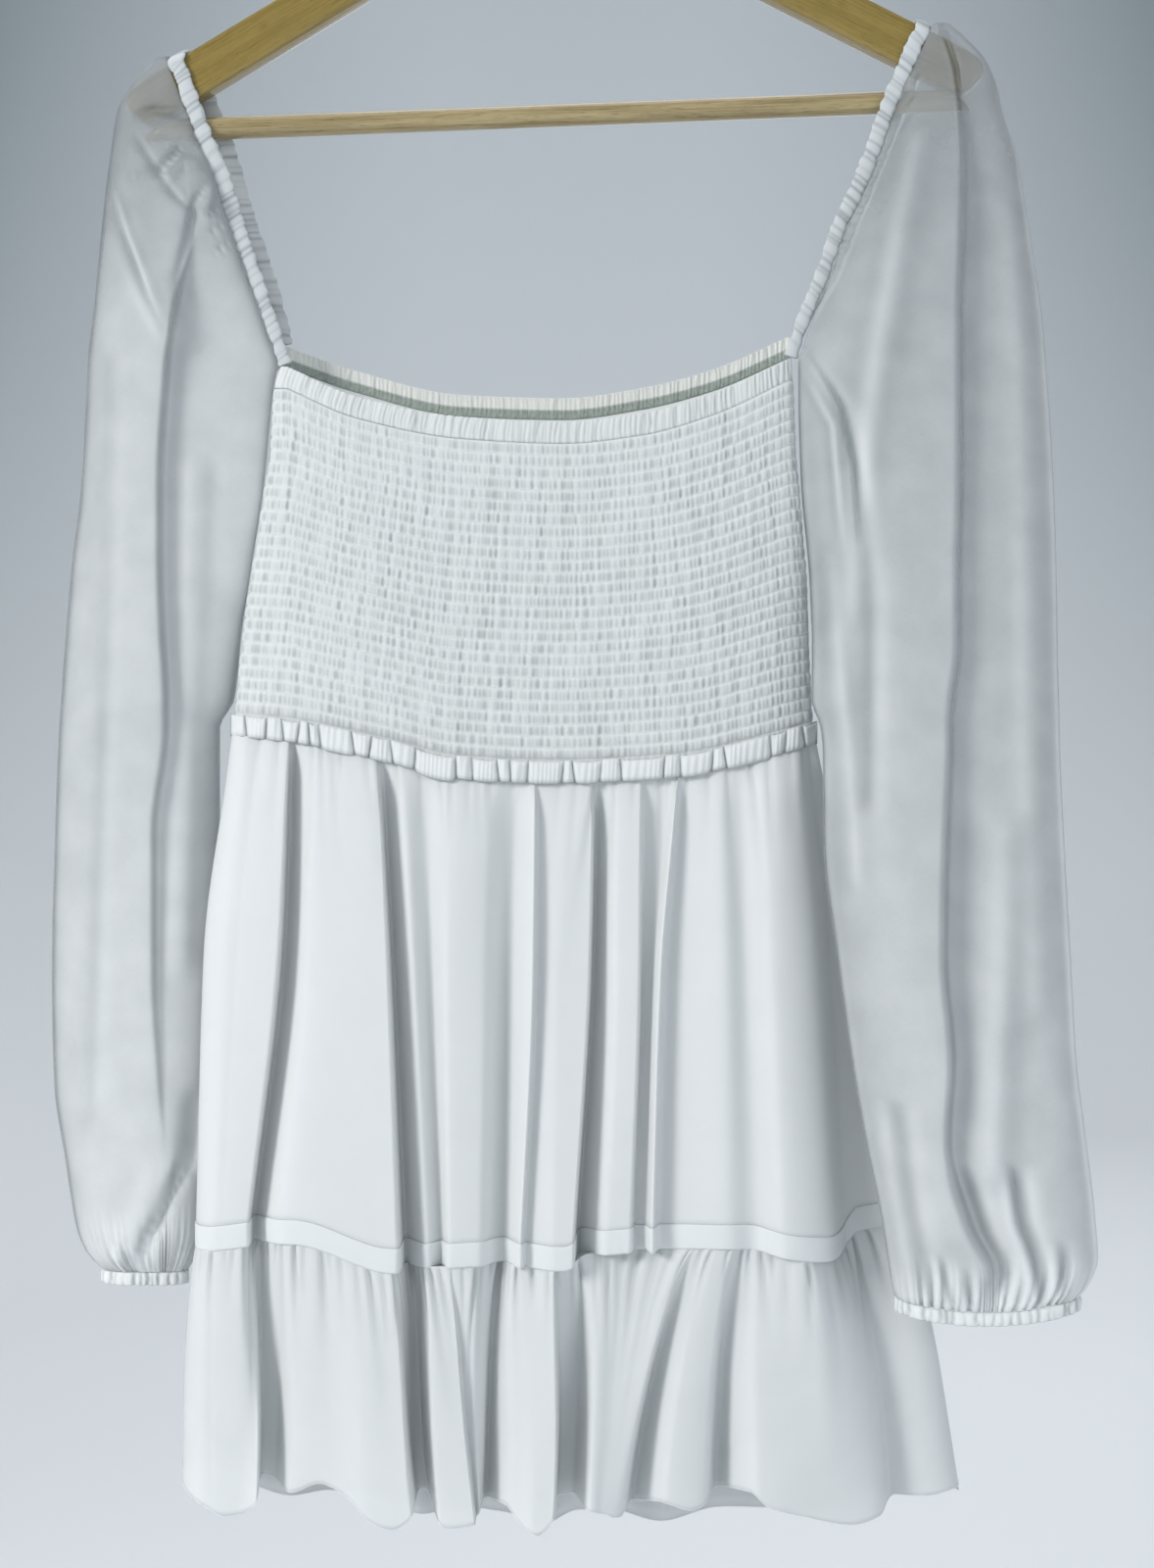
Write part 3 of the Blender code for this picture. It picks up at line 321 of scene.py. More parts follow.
welded.from_mesh(wire_mesh)
bmesh.ops.remove_doubles(welded, verts=welded.verts, dist=0.00001)
bmesh.ops.recalc_face_normals(welded, faces=welded.faces)
welded.to_mesh(wire_mesh)
welded.free()
wire_mesh.shade_smooth()
wire_mesh.set_sharp_from_angle(angle=math.radians(50))
steel, wire, shader = finish("plated wire", Base_Color=(0.62, 0.62, 0.61, 1), Metallic=1.0)
scuffs = wire.node("ShaderNodeTexCoord", output=3).scaled(900, 900, 140).noise(1.0, 3.0)
dress_up(wire, shader, roughness=scuffs.ranged(0.3, 0.7, 0.16, 0.34), height=scuffs, bump=0.08)
wire_mesh.materials.clear()
wire_mesh.materials.append(steel)
hanger_hook = bpy.data.objects.new("hanger_hook_wire", wire_mesh)
bpy.context.scene.collection.objects.link(hanger_hook)
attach(hanger_hook, "root")
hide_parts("hanger_hook")


# The bodice: a front and a back panel of sheer crepe, shirred on 28 rows of elastic thread 5.8 mm apart.
# Between the rows the cloth stands out in small puffs, drawn into fine uneven gathers.
SHIRRING_ROWS = 28
CASING_HEIGHT = 11.5
SEAM_GAP = 0.3
FORWARD = {"front": -1, "back": 1}
DEPTH_SHARE = {"front": 1, "back": 0.85}
WAIST_DROP = 520
PANEL_HALF_WIDTH = 145
PUFF = 1.25
GATHER_PITCH = 2.2
GATHER_WIDTH = 0.6
GATHER_DEPTH = 0.7
THREAD_RELIEF = 0.35
PANEL_COLUMNS = {"front": 501, "back": 361}
PANEL_SEED = {"front": 11, "back": 12}
CELL_POINTS = (0.0, 0.09, 0.28, 0.5, 0.72, 0.91)  # places down a row's height, the first at its thread
LINING_DEPTH = 0.9
CLOTH_THICKNESS = 0.4

NECKLINE = Table(
    "across front back",
    (-133.5, 335.0, 325.0),
    (-98.0, 350.0, 337.3),
    (-44.5, 360.5, 349.5),
    (7.5, 363.0, 351.2),
    (47.5, 358.8, 346.0),
    (84.0, 348.5, 336.5),
    (122.5, 331.0, 319.8),
)
WAIST = Table(
    "across drop",
    (-164.0, 518.0),
    (-132.0, 521.0),
    (-84.5, 530.5),
    (-48.0, 539.5),
    (0.0, 542.0),
    (65.5, 539.0),
    (104.0, 531.0),
    (137.0, 522.0),
)
BODICE = Table(
    "drop left right depth opening",
    (333, -135.5, 123.6, 17.0, 7.2),
    (346, -139.5, 124.5, 17.5, 7.2),
    (378, -141.5, 125.8, 18.0, 7.2),
    (400, -145.0, 127.8, 18.0, 7.0),
    (436, -150.5, 130.7, 18.0, 4.2),
    (452, -153.0, 131.7, 18.0, 1.6),
    (468, -155.0, 132.3, 17.8, 0.15),
    (485, -157.0, 132.8, 17.5, 0.15),
    (520, -160.0, 134.8, 17.0, 0.15),
)
PANEL_CORNERS = {"left": (-133.5, -158.0), "right": (122.5, 133.0)}  # at the neck, and at the waist


def drawn_in(value, eye, y):
    """A width or drop read at the hanger's depth, carried to the depth y along the line of sight."""
    return eye + (value - eye) * (1 + y / EYE_DISTANCE)


def at_level(across, y, level):
    """A point at depth y whose place across is read from in front and whose own drop is known."""
    return np.stack(np.broadcast_arrays(drawn_in(across, EYE_X, y), y, -level), axis=-1)


def point(across, y, drop):
    """A point of the cloth as read from in front, at depth y."""
    return at_level(across, y, drawn_in(drop, EYE_DROP, y))


def turned(face, grid):
    """A grid whose columns run from left to right in front and from right to left behind."""
    return grid if face == "front" else grid[:, ::-1]


def held_ends(count, ramp):
    """Shares along a row that rise from 0 at both its ends to 1 further in."""
    steps = np.arange(count)
    return np.clip(np.minimum(steps, steps[::-1]) / ramp, 0, 1)


def rounded(s, side_power=3.0, nose_power=0.55):
    """How far a flattened section stands out at s, from 0 at its sides to 1 along its middle."""
    return (1 - np.abs(s) ** side_power) ** nose_power


def spread(count, crowding=1.0):
    """Places from -1 to 1 that crowd together at the sides of a section."""
    even = np.linspace(0, 1, count)
    return crowding * -np.cos(math.pi * even) + (1 - crowding) * (2 * even - 1)


def outward(grid, seamed=True):
    """Unit normals of a grid whose rows run down and columns run round the body, level along its edges."""
    normals = np.cross(np.gradient(grid, axis=0), np.gradient(grid, axis=1))
    if seamed:
        normals[:, [0, -1], 1] = 0
    normals[[0, -1], :, 2] = 0
    return normals / np.linalg.norm(normals, axis=2, keepdims=True)


def joined(first, second):
    """Triangles between two runs of points that may differ in number."""
    i = 0
    j = 0
    while i < len(first) - 1 or j < len(second) - 1:
        ahead = (i + 1) * (len(second) - 1) <= (j + 1) * (len(first) - 1)
        if j == len(second) - 1 or (i < len(first) - 1 and ahead):
            yield (first[i], first[i + 1], second[j])
            i += 1
        else:
            yield (first[i], second[j + 1], second[j])
            j += 1


def cloth_lengths(grid):
    """Each point's place in the flat cloth: how far along its row, from the middle, and how far down."""
    along = np.linalg.norm(np.diff(grid, axis=1), axis=2)
    along = np.concatenate([np.zeros((len(grid), 1)), np.cumsum(along, axis=1)], axis=1)
    along -= along[:, [along.shape[1] // 2]]
    down = np.linalg.norm(np.diff(grid, axis=0), axis=2).mean(axis=1)
    down = np.concatenate([[0], np.cumsum(down)])
    return along, np.broadcast_to(down[:, None], along.shape)


def cloth_shell(name, outer, inner, material, outer_fullness_and_shade, inner_fullness_and_shade=None):
    """A closed thin wall of cloth between two grids, the inner of which may be coarser, each face with its
    own values of gathering and painted shade.
    """
    inner_fullness_and_shade = outer_fullness_and_shade if inner_fullness_and_shade is None else inner_fullness_and_shade
    runs = []
    laid = []
    start = 0
    for grid, full in ((outer, outer_fullness_and_shade), (inner, inner_fullness_and_shade)):
        index = np.arange(grid.shape[0] * grid.shape[1]).reshape(grid.shape[:2]) + start
        start += index.size
        runs.append(index)
        along, down = cloth_lengths(grid)
        laid.append(np.stack(np.broadcast_arrays(along, down, full), axis=-1).reshape(-1, 3))
    outside, inside = runs
    faces = np.stack([outside[:-1, :-1], outside[1:, :-1], outside[1:, 1:], outside[:-1, 1:]], axis=-1)
    lining = np.stack([inside[:-1, :-1], inside[:-1, 1:], inside[1:, 1:], inside[1:, :-1]], axis=-1)
    faces = faces.reshape(-1, 4).tolist() + lining.reshape(-1, 4).tolist()
    edges = (
        (outside[0], inside[0]),
        (outside[-1, ::-1], inside[-1, ::-1]),
        (outside[::-1, 0], inside[::-1, 0]),
        (outside[:, -1], inside[:, -1]),
    )
    for first, second in edges:
        faces += [tuple(map(int, face)) for face in joined(first, second)]
    points = np.concatenate([outer.reshape(-1, 3), inner.reshape(-1, 3)])
    return add_piece(name, points, faces, material, np.concatenate(laid))


def bodice_grid(face, places, shares, top, bottom):
    """Rows of the bodice between two edges, each a function that gives a drop from a place across."""
    rows = []
    for share in shares:
        drops = []
        for side in ("left", "right"):
            upper, lower = PANEL_CORNERS[side]
            drops.append(top(upper) + (bottom(lower) - top(upper)) * share)
        left = BODICE.at("left", drops[0])
        right = BODICE.at("right", drops[1])
        middle = (drops[0] + drops[1]) / 2
        opening = BODICE.at("opening", middle)
        depth = BODICE.at("depth", middle) * DEPTH_SHARE[face]
        stand = opening + (depth - opening) * rounded(places)
        across = (left + right) / 2 + (right - left) / 2 * places
        drop = top(across) + (bottom(across) - top(across)) * share
        rows.append(point(across, FORWARD[face] * stand, drop))
    return turned(face, np.array(rows))


def below_neck(face, distance):
    return lambda across: NECKLINE.at(face, across) + distance


def above_waist(distance):
    return lambda across: WAIST.at("drop", across) - distance


def gathers(places, bands, pitch, width, seed, steadiness=0.55, wander=0.3):
    """Fine gathers over bands of cloth, uneven in place and depth and partly kept from band to band."""
    random = np.random.default_rng(seed)
    extent = places[-1] - places[0]
    steps = pitch * random.uniform(0.55, 1.45, int(abs(extent) / pitch * 1.3))
    middles = min(places[0], places[-1]) + np.cumsum(steps)
    strength = random.random(len(middles))
    fields = []
    for _ in range(bands):
        strength = steadiness * strength + (1 - steadiness) * random.random(len(middles)) * 1.4
        shift = random.normal(0, wander, len(middles))
        away = (places[:, None] - middles - shift) / (width * (0.7 + 0.6 * strength))
        fields.append((strength * np.exp(-away * away)).sum(axis=1))
    return np.array(fields)


def chiffon(name, colour, shade, alpha=1.0, full_alpha=None, crepe=0.35):
    """Sheer crepe whose tone runs from the shade colour to the colour with each point's value of gathering
    and painted shade, and whose alpha may follow the same value.
    """
    material, wire, shader = finish(name, Roughness=0.85, Alpha=alpha, Sheen_Weight=0.15, Sheen_Roughness=0.4)
    shader.inputs["Specular IOR Level"].default_value = 0.2
    laid = wire.node("ShaderNodeAttribute", attribute_name="laid", output=1)
    full = wire.node("ShaderNodeSeparateXYZ", {0: laid}, output=2)
    flat = laid.scaled(1, 1, 0)
    clouds = flat.noise(0.045, 3.0)
    slubs = flat.scaled(0.35, 4.0, 1).noise(1.0, 2.0)
    grain = flat.scaled(3.2, 3.2, 1).noise(1.0, 2.0)
    # The tone is painted shade and light: a low value paints the shade colour, a high one the colour.
    tone = (full + clouds * 0.22 + slubs * 0.12 + grain * 0.12).ranged(0.23, 1.23)
    see = None if full_alpha is None else full.ranged(0.0, 1.0, alpha, full_alpha)
    height = grain * 0.6 + slubs * 0.4
    dress_up(wire, shader, tone.mixed(shade, colour), alpha=see, height=height, bump=crepe)
    return material


shirred_cloth = chiffon("shirred crepe", (0.74, 0.76, 0.76), (0.34, 0.37, 0.37))
for face in ("front", "back"):
    s = spread(PANEL_COLUMNS[face], 0.35)
    cells = (np.arange(SHIRRING_ROWS)[:, None] + CELL_POINTS).ravel()
    shares = np.append(cells, SHIRRING_ROWS) / SHIRRING_ROWS
    edges = (below_neck(face, CASING_HEIGHT), above_waist(SEAM_GAP))
    panel = bodice_grid(face, s, shares, *edges)
    band = np.minimum((shares * SHIRRING_ROWS + 1e-6).astype(int), SHIRRING_ROWS - 1)
    within = shares * SHIRRING_ROWS - band
    swell = np.sin(math.pi * np.clip(within, 0, 1)) ** 0.6
    swell[-1] = 0
    places = s * PANEL_HALF_WIDTH
    fine = gathers(places, SHIRRING_ROWS, GATHER_PITCH, GATHER_WIDTH, PANEL_SEED[face], wander=0.5)
    fine = fine[band] * (0.15 + 0.85 * swell[:, None] * (0.35 + within[:, None]))
    thread = np.exp(-(((np.minimum(within, 1 - within) - 0.05) / 0.07) ** 2))[:, None]
    relief = PUFF * swell[:, None] - GATHER_DEPTH * fine + THREAD_RELIEF * thread
    relief[:, [0, -1]] = 0
    panel_out = panel + outward(panel) * relief[..., None]
    coarse = bodice_grid(face, spread(61, 0.35), np.linspace(0, 1, 57), *edges)
    lining = coarse - outward(coarse) * LINING_DEPTH
    # Painted shade in the hollows of the fine gathers, lighter along the thread rows; the lining is given the
    # lightest value, a painted light against the shade between the panels.
    full = np.clip(0.74 + 0.26 * thread - 0.5 * np.minimum(fine, 0.9), 0, 1)
    piece = cloth_shell(f"bodice_{face}_cloth", panel_out, lining, shirred_cloth, full, 1.0)
    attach(piece, "root")
    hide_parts(f"bodice_{face}")


# The neck casings: an 11.5 mm band of the same crepe, turned over elastic at the top of each panel and
# drawn up into close gathers, so that its edge is finely scalloped.
CASING_GATHER = 0.9
CASING_SCALLOP = 0.45
CASING_COLUMNS = 521
CASING_SEED = {"front": 21, "back": 22}
CASING_WALL = 0.8
BACKING_SHADE = 0.35
ELASTIC_DROP = 6.3


def between_bands(bands, shares):
    """Bands of gathers read at shares of the way down them."""
    level = shares * (len(bands) - 1)
    lower = np.minimum(level.astype(int), len(bands) - 2)
    part = (level - lower)[:, None]
    return bands[lower] * (1 - part) + bands[lower + 1] * part


casing_cloth = chiffon("neck casing crepe", (0.70, 0.72, 0.715), (0.36, 0.39, 0.385))
# The inside of the back casing: its own light colour down to the elastic, and below it a painted shadow where
# the shirred panel lies in shade.
backing_with_painted_shadow, wire, shader = finish("casing over elastic with painted shadow", Roughness=0.85, Sheen_Weight=0.2)
laid = wire.node("ShaderNodeAttribute", attribute_name="laid", output=1)
down = wire.node("ShaderNodeSeparateXYZ", {0: laid}, output=1)
full = wire.node("ShaderNodeSeparateXYZ", {0: laid}, output=2)
ribs = laid.scaled(1.6, 0.35, 0).noise(1.0, 3.0)
light = (full * 0.7 + ribs * 0.5).ranged(0.15, 0.8).mixed((0.58, 0.60, 0.57), (0.82, 0.83, 0.80))
under = down.ranged(ELASTIC_DROP - 0.8, ELASTIC_DROP + 0.5)
dark = ribs.ranged(0.3, 0.7).mixed((0.23, 0.27, 0.24), (0.40, 0.45, 0.41))
mixed = wire.node("ShaderNodeMix", {0: under, 6: light, 7: dark}, output=2, data_type="RGBA")
dress_up(wire, shader, mixed, height=ribs, bump=0.4)
for face in ("front", "back"):
    s = spread(CASING_COLUMNS, 0.35)
    shares = np.array([0, 0.06, 0.15, 0.3, 0.5, 0.7, 0.88, 1])
    edges = (below_neck(face, 0.0), below_neck(face, CASING_HEIGHT - SEAM_GAP))
    band = bodice_grid(face, s, shares, *edges)
    fine = gathers(s * PANEL_HALF_WIDTH, 3, 2.1, 0.55, CASING_SEED[face], steadiness=0.7)
    fine = between_bands(fine, shares)
    swell = np.array([0.55, 0.85, 1, 1, 1, 0.9, 0.8, 0.5])[:, None]
    relief = swell * (0.85 - CASING_GATHER * fine)
    relief[:, [0, -1]] = 0
    rim = np.clip(1 - shares / 0.2, 0, 1)[:, None]
    band[..., 2] -= rim * CASING_SCALLOP * turned(face, fine)
    band_out = band + outward(band) * turned(face, relief)[..., None]
    band_in = band_out - outward(band) * CASING_WALL
    # Painted shade in the gathers' hollows, and a darker painted shade on the casing's inside by
    # BACKING_SHADE.
    full = turned(face, np.clip(0.95 - 0.5 * fine, 0, 1))
    inner_with_painted_shade = full - BACKING_SHADE
    piece = cloth_shell(f"neck_casing_{face}_cloth", band_out, band_in, casing_cloth, full, inner_with_painted_shade)
    if face == "back":
        piece.data.materials.append(backing_with_painted_shadow)
        quads = (band.shape[0] - 1) * (band.shape[1] - 1)
        for polygon in piece.data.polygons[quads : 2 * quads]:
            polygon.material_index = 1
    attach(piece, "root")
    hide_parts(f"neck_casing_{face}")


# The waist frill: a 10.8 mm header left standing on the waist seam, drawn up into boxy puffs of uneven
# width. Some of them sag below the rest.
FRILL_HEIGHT = 10.8
FRILL_CLEARANCE = 2.4
FRILL_RELIEF = 3.6
FRILL_PUFFS = {  # how wide each puff is, and how far it sags, from the left
    "front": (
        (16, 0), (21, 0.3), (17, 0.5), (16, 0.2), (11, 0.6), (11, 0.4), (34, 1.6), (18, 0.5), (22, 0.9),
        (24, 0.6), (42, 2.3), (17, 0.5), (26, 0.8), (13, 0.3), (18, 0.5), (36, 0.7), (11, 0.2), (28, 0.9),
        (21, 0.4), (44, 0.6), (17, 0.3), (33, 0.9), (13, 0.2), (47, 1.2), (15, 0.3), (19, 0.5), (14, 0.2),
    ),
    "back": (
        (17, 0), (26, 0.5), (14, 0.2), (31, 0.8), (18, 0.3), (12, 0.1), (38, 1.4), (16, 0.4), (24, 0.6),
        (13, 0.2), (35, 0.9), (19, 0.3), (27, 0.7), (15, 0.1), (41, 1.1), (17, 0.4), (22, 0.5), (12, 0),
        (30, 0.8), (18, 0.2), (36, 0.9), (14, 0.3), (25, 0.5), (19, 0.2), (29, 0.7), (16, 0.1),
    ),
}
FRILL_CREASE = 0.6
FRILL_SLANT = 0.012
FRILL_HEIGHTS = (-0.5, -0.44, -0.3, -0.1, 0.1, 0.28, 0.42, 0.5)  # shares of its height, from its middle down
FRILL_COLUMNS = 601
FRILL_WALL = 0.6


def waist_section(face, aside, ahead):
    """The bodice's left and right ends and its depth at the waist, each let out by a clearance."""
    left = BODICE.at("left", WAIST_DROP) - aside
    right = BODICE.at("right", WAIST_DROP) + aside
    depth = BODICE.at("depth", WAIST_DROP) * DEPTH_SHARE[face] + ahead
    return left, right, depth


frill_cloth = chiffon("frill crepe", (0.72, 0.74, 0.745), (0.28, 0.31, 0.315))
for face in ("front", "back"):
    s = spread(FRILL_COLUMNS, 0.2)
    left, right, depth = waist_section(face, FRILL_CLEARANCE, FRILL_CLEARANCE)
    y = SEAM_GAP / 2 + depth * rounded(s)
    across = (left + right) / 2 + (right - left) / 2 * s
    widths, sags = np.array(FRILL_PUFFS[face]).T
    ends = np.cumsum(widths) / widths.sum() * 2 - 1
    starts = ends - widths / widths.sum() * 2
    rows = []
    creases = []
    lean_phase = np.arange(len(ends)) * 2.1
    for height in FRILL_HEIGHTS:
        bent = s + FRILL_SLANT * height * np.sin(across * 0.33)
        puff = np.clip(np.searchsorted(ends, bent), 0, len(ends) - 1)
        t = (bent - starts[puff]) / (ends - starts)[puff] * 2 - 1
        from_crease = np.clip(1 - np.abs(t), 0, 1) * (ends - starts)[puff] * (right - left) / 4
        dome = 1 - np.exp(-from_crease / (2 * FRILL_CREASE))
        creases.append(np.exp(-((from_crease / FRILL_CREASE) ** 2)))
        lean = 0.3 * t * np.sin(lean_phase)[puff]
        profile = (1 - (abs(height) * 2) ** 4 * 0.75) ** 0.5
        swell = (0.3 + 0.7 * dome * (1 + lean)) * profile
        wrinkle = np.sin(across * 2.3 + 4 * np.sin(across * 0.21) + height * 2) * dome
        drop = WAIST.at("drop", across) + height * FRILL_HEIGHT + sags[puff] * (height + 0.5) * dome
        drop -= (0.5 - height) * (0.6 * (1 - dome) + 0.7 * np.sin(lean_phase * 1.7)[puff] * dome)
        stand = y + (FRILL_RELIEF * swell + 0.22 * wrinkle) * np.clip((1 - np.abs(s)) * 30, 0.1, 1)
        rows.append(point(across, FORWARD[face] * stand, drop))
    strip = turned(face, np.array(rows))
    # Painted shade along the creases between puffs, and a painted shadow along the frill's lower rim.
    rim = np.clip((np.array(FRILL_HEIGHTS) - 0.36) / 0.12, 0, 1)[:, None]
    full = turned(face, np.clip(0.95 - 0.75 * np.array(creases) - 0.6 * rim, 0, 1))
    inner = strip - outward(strip) * FRILL_WALL
    piece = cloth_shell(f"waist_frill_{face}_cloth", strip, inner, frill_cloth, full)
    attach(piece, "root")
    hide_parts(f"waist_frill_{face}")


# The upper skirt: a front and a back panel of the same crepe, gathered into the waist and falling in long
# soft folds to the tier seam, 230 mm below.
SKIRT_TOP_SET = 1.2
SKIRT_WAIST_CLEARANCE = (1.4, 0.8)
SKIRT_STATIONS = (0, 0.1, 0.45, 1)
FOLD_START = 0.7  # how much of a fold's depth it has at the second station
WAIST_GATHER = 1.3
WAIST_GATHER_REACH = 34
WAIST_GATHER_PITCH = 8.5
SKIRT_SEED = {"front": 31, "back": 32}
SKIRT_STEPS = {"front": 10, "back": 14}  # from each fold line to the next
SKIRT_SHARES = np.linspace(0, 1, 71) ** 1.15

SKIRT_FRONT = Table(
    "waist_x mid_x tier_x mid_y tier_y",
    (-161.2, -176.0, -180.0, 0.0, 0.0),
    (-149.0, -160.0, -167.0, -20.0, -20.0),
    (-133.0, -138.5, -154.0, -25.0, -22.0),
    (-129.8, -134.3, -150.0, -8.0, -5.0),
    (-119.0, -122.0, -136.0, -24.0, -25.0),
    (-101.0, -102.0, -106.0, -28.0, -30.0),
    (-87.5, -82.5, -77.5, -30.0, -33.0),
    (-84.6, -78.8, -72.8, -10.0, -7.0),
    (-75.0, -69.0, -62.0, -23.0, -23.0),
    (-63.0, -60.0, -55.0, -17.0, -17.0),
    (-51.0, -51.0, -50.0, -27.0, -27.0),
    (-34.0, -34.0, -36.0, -25.0, -26.0),
    (-16.5, -21.5, -24.0, -14.0, -13.0),
    (-7.0, -8.5, -14.5, -28.0, -28.0),
    (-4.8, -5.8, -11.8, -21.0, -22.0),
    (12.5, 6.0, 3.0, -24.0, -28.0),
    (22.5, 20.0, 12.0, -24.0, -28.0),
    (25.4, 23.0, 15.2, -7.0, -4.0),
    (35.0, 35.0, 30.0, -23.0, -23.0),
    (46.5, 45.5, 41.0, -24.0, -23.0),
    (49.2, 48.4, 44.4, -14.0, -14.0),
    (61.5, 52.5, 49.0, -16.0, -16.0),
    (66.0, 57.0, 53.0, -26.0, -27.0),
    (69.0, 61.0, 57.0, -17.0, -17.0),
    (86.0, 89.0, 90.0, -24.0, -24.0),
    (97.0, 101.0, 105.0, -19.0, -19.0),
    (111.0, 115.0, 121.0, -27.0, -28.0),
    (128.0, 137.0, 143.0, -19.0, -20.0),
    (132.5, 144.0, 152.5, -3.0, 2.0),
    (136.0, 158.5, 179.0, 2.0, 8.0),
)
SKIRT_BACK = Table(
    "waist_x mid_x tier_x mid_y tier_y",
    (-161.2, -176.0, -180.0, 0.0, 0.0),
    (-146.0, -158.0, -160.0, 17.0, 19.0),
    (-120.0, -128.0, -132.0, 11.0, 8.0),
    (-98.0, -104.0, -106.0, 19.0, 23.0),
    (-72.0, -74.0, -75.0, 12.0, 9.0),
    (-40.0, -42.0, -40.0, 19.0, 22.0),
    (-14.0, -14.0, -12.0, 13.0, 10.0),
    (10.0, 14.0, 18.0, 20.0, 24.0),
    (34.0, 40.0, 46.0, 12.0, 8.0),
    (62.0, 68.0, 74.0, 19.0, 23.0),
    (84.0, 92.0, 98.0, 13.0, 11.0),
    (104.0, 116.0, 124.0, 19.0, 23.0),
    (124.0, 142.0, 152.0, 15.0, 16.0),
    (136.0, 158.5, 179.0, 2.0, 8.0),
)
TIER_LEVEL = Table(
    "across drop",
    (-180, 772),
    (-130, 766),
    (-80, 779),
    (-30, 777),
    (8, 779),
    (20, 773),
    (90, 769),
    (148, 776),
    (157, 765),
    (180, 762),
)


def across_lines(values, parts):
    """Values read between the fold lines, with parts steps from each line to the next."""
    count = len(values)
    return smooth(np.arange(count), values, np.linspace(0, count - 1, (count - 1) * parts + 1))


def round_the_ends(lines_x, lines_y, x, y, parts):
    """Turns the first and last stretch of a section into quarter rounds, as cloth turns at a side seam."""
    quarter = np.linspace(0, math.pi / 2, parts + 1)
    for end, near, run in ((0, 1, slice(0, parts + 1)), (-1, -2, slice(None, -parts - 2, -1))):
        x[run] = lines_x[end] + (lines_x[near] - lines_x[end]) * (1 - np.cos(quarter))
        y[run] = lines_y[end] + (lines_y[near] - lines_y[end]) * np.sin(quarter)
    return x, y


def waist_depth(across, face):
    """The depth of the skirt's top edge, just outside the bodice's lower edge."""
    left, right, depth = waist_section(face, *SKIRT_WAIST_CLEARANCE)
    s = np.clip((across - (left + right) / 2) / ((right - left) / 2), -1, 1)
    return FORWARD[face] * depth * rounded(s)


def skirt_section(face, share, parts):
    """Seen places across and depths of the upper skirt, a share of the way from waist to tier seam."""
    table = SKIRT_FRONT if face == "front" else SKIRT_BACK
    waist_x, mid_x = table["waist_x"], table["mid_x"]
    waist_y = waist_depth(waist_x, face)
    second_x = waist_x + (mid_x - waist_x) * SKIRT_STATIONS[1] / SKIRT_STATIONS[2]
    places = (waist_x, second_x, mid_x, table["tier_x"])
    depths = (waist_y, waist_y + (table["mid_y"] - waist_y) * FOLD_START, table["mid_y"], table["tier_y"])
    lines_x = np.array([smooth(SKIRT_STATIONS, line, share) for line in zip(*places)])
    lines_y = np.array([smooth(SKIRT_STATIONS, line, share) for line in zip(*depths)])
    lines_y[[0, -1]] += FORWARD[face] * SEAM_GAP / 2
    x, y = across_lines(lines_x, parts), across_lines(lines_y, parts)
    x, y = round_the_ends(lines_x, lines_y, x, y, parts)
    if share == 0:
        y[1:-1] = waist_depth(x, face)[1:-1]
    return x, y


def skirt_grid(face, shares, parts):
    top_x = skirt_section(face, 0, parts)[0]
    rows = []
    for share in shares:
        x, y = skirt_section(face, share, parts)
        top = drawn_in(WAIST.at("drop", top_x) + SKIRT_TOP_SET, EYE_DROP, y)
        rows.append(at_level(x, y, top + (TIER_LEVEL.at("drop", x) - top) * share))
    return turned(face, np.array(rows))


def fading(grid, reach, seed, pitch, width):
    """Small gathers that leave the top edge of a panel and die out below it, each at its own distance."""
    random = np.random.default_rng(seed)
    along, down = cloth_lengths(grid)
    top = along[0]
    middles = top[0] + np.cumsum(pitch * random.uniform(0.5, 1.5, int(np.ptp(top) / pitch * 1.4)))
    field = np.zeros(along.shape)
    for middle in middles:
        ends = reach * random.uniform(0.25, 1.6)
        strength = random.uniform(0.4, 1.2)
        drift = random.normal(0, 0.05)
        wide = width * (1 + 1.2 * down / reach)
        away = (top[None, :] - middle - drift * down) / wide
        field += strength * np.exp(-away * away) * np.exp(-((down / ends) ** 1.5))
    return field


def trough(grid, reach):
    """How far a point stands out from the run of its row, above 0, or lies in a trough, below 0, scaled for
    use as painted shade and light.
    """
    kernel = np.hanning(2 * reach + 3)[1:-1]
    kernel /= kernel.sum()
    y = grid[..., 1]
    padded = np.pad(y, ((0, 0), (reach, reach)), mode="edge")
    level = np.array([np.convolve(row, kernel, mode="valid") for row in padded])
    stand = (y - level) * np.sign(y.mean())
    return np.clip(stand * 0.12, -0.6, 0.3)


skirt_cloth = chiffon("soft skirt chiffon", (0.83, 0.85, 0.86), (0.64, 0.665, 0.67), 0.75)
for face in ("front", "back"):
    panel = skirt_grid(face, SKIRT_SHARES, SKIRT_STEPS[face])
    fine = fading(panel, WAIST_GATHER_REACH, SKIRT_SEED[face], WAIST_GATHER_PITCH, 1.0)
    edge = held_ends(panel.shape[1], 8)
    below_seam = np.clip(SKIRT_SHARES / 0.02, 0, 1)[:, None]
    panel = panel + outward(panel) * (-WAIST_GATHER * fine * edge * below_seam)[..., None]
    inner = (panel - outward(panel) * CLOTH_THICKNESS)[::2]
    # Painted shade: darker in the waist gathers' hollows and in the troughs of the folds, lighter on their
    # ridges.
    full = np.clip(0.85 - 0.5 * fine + trough(panel, 6), 0, 1)
    piece = cloth_shell(f"skirt_{face}_cloth", panel, inner, skirt_cloth, full, 0.7)
    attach(piece, "root")
    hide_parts(f"skirt_{face}")


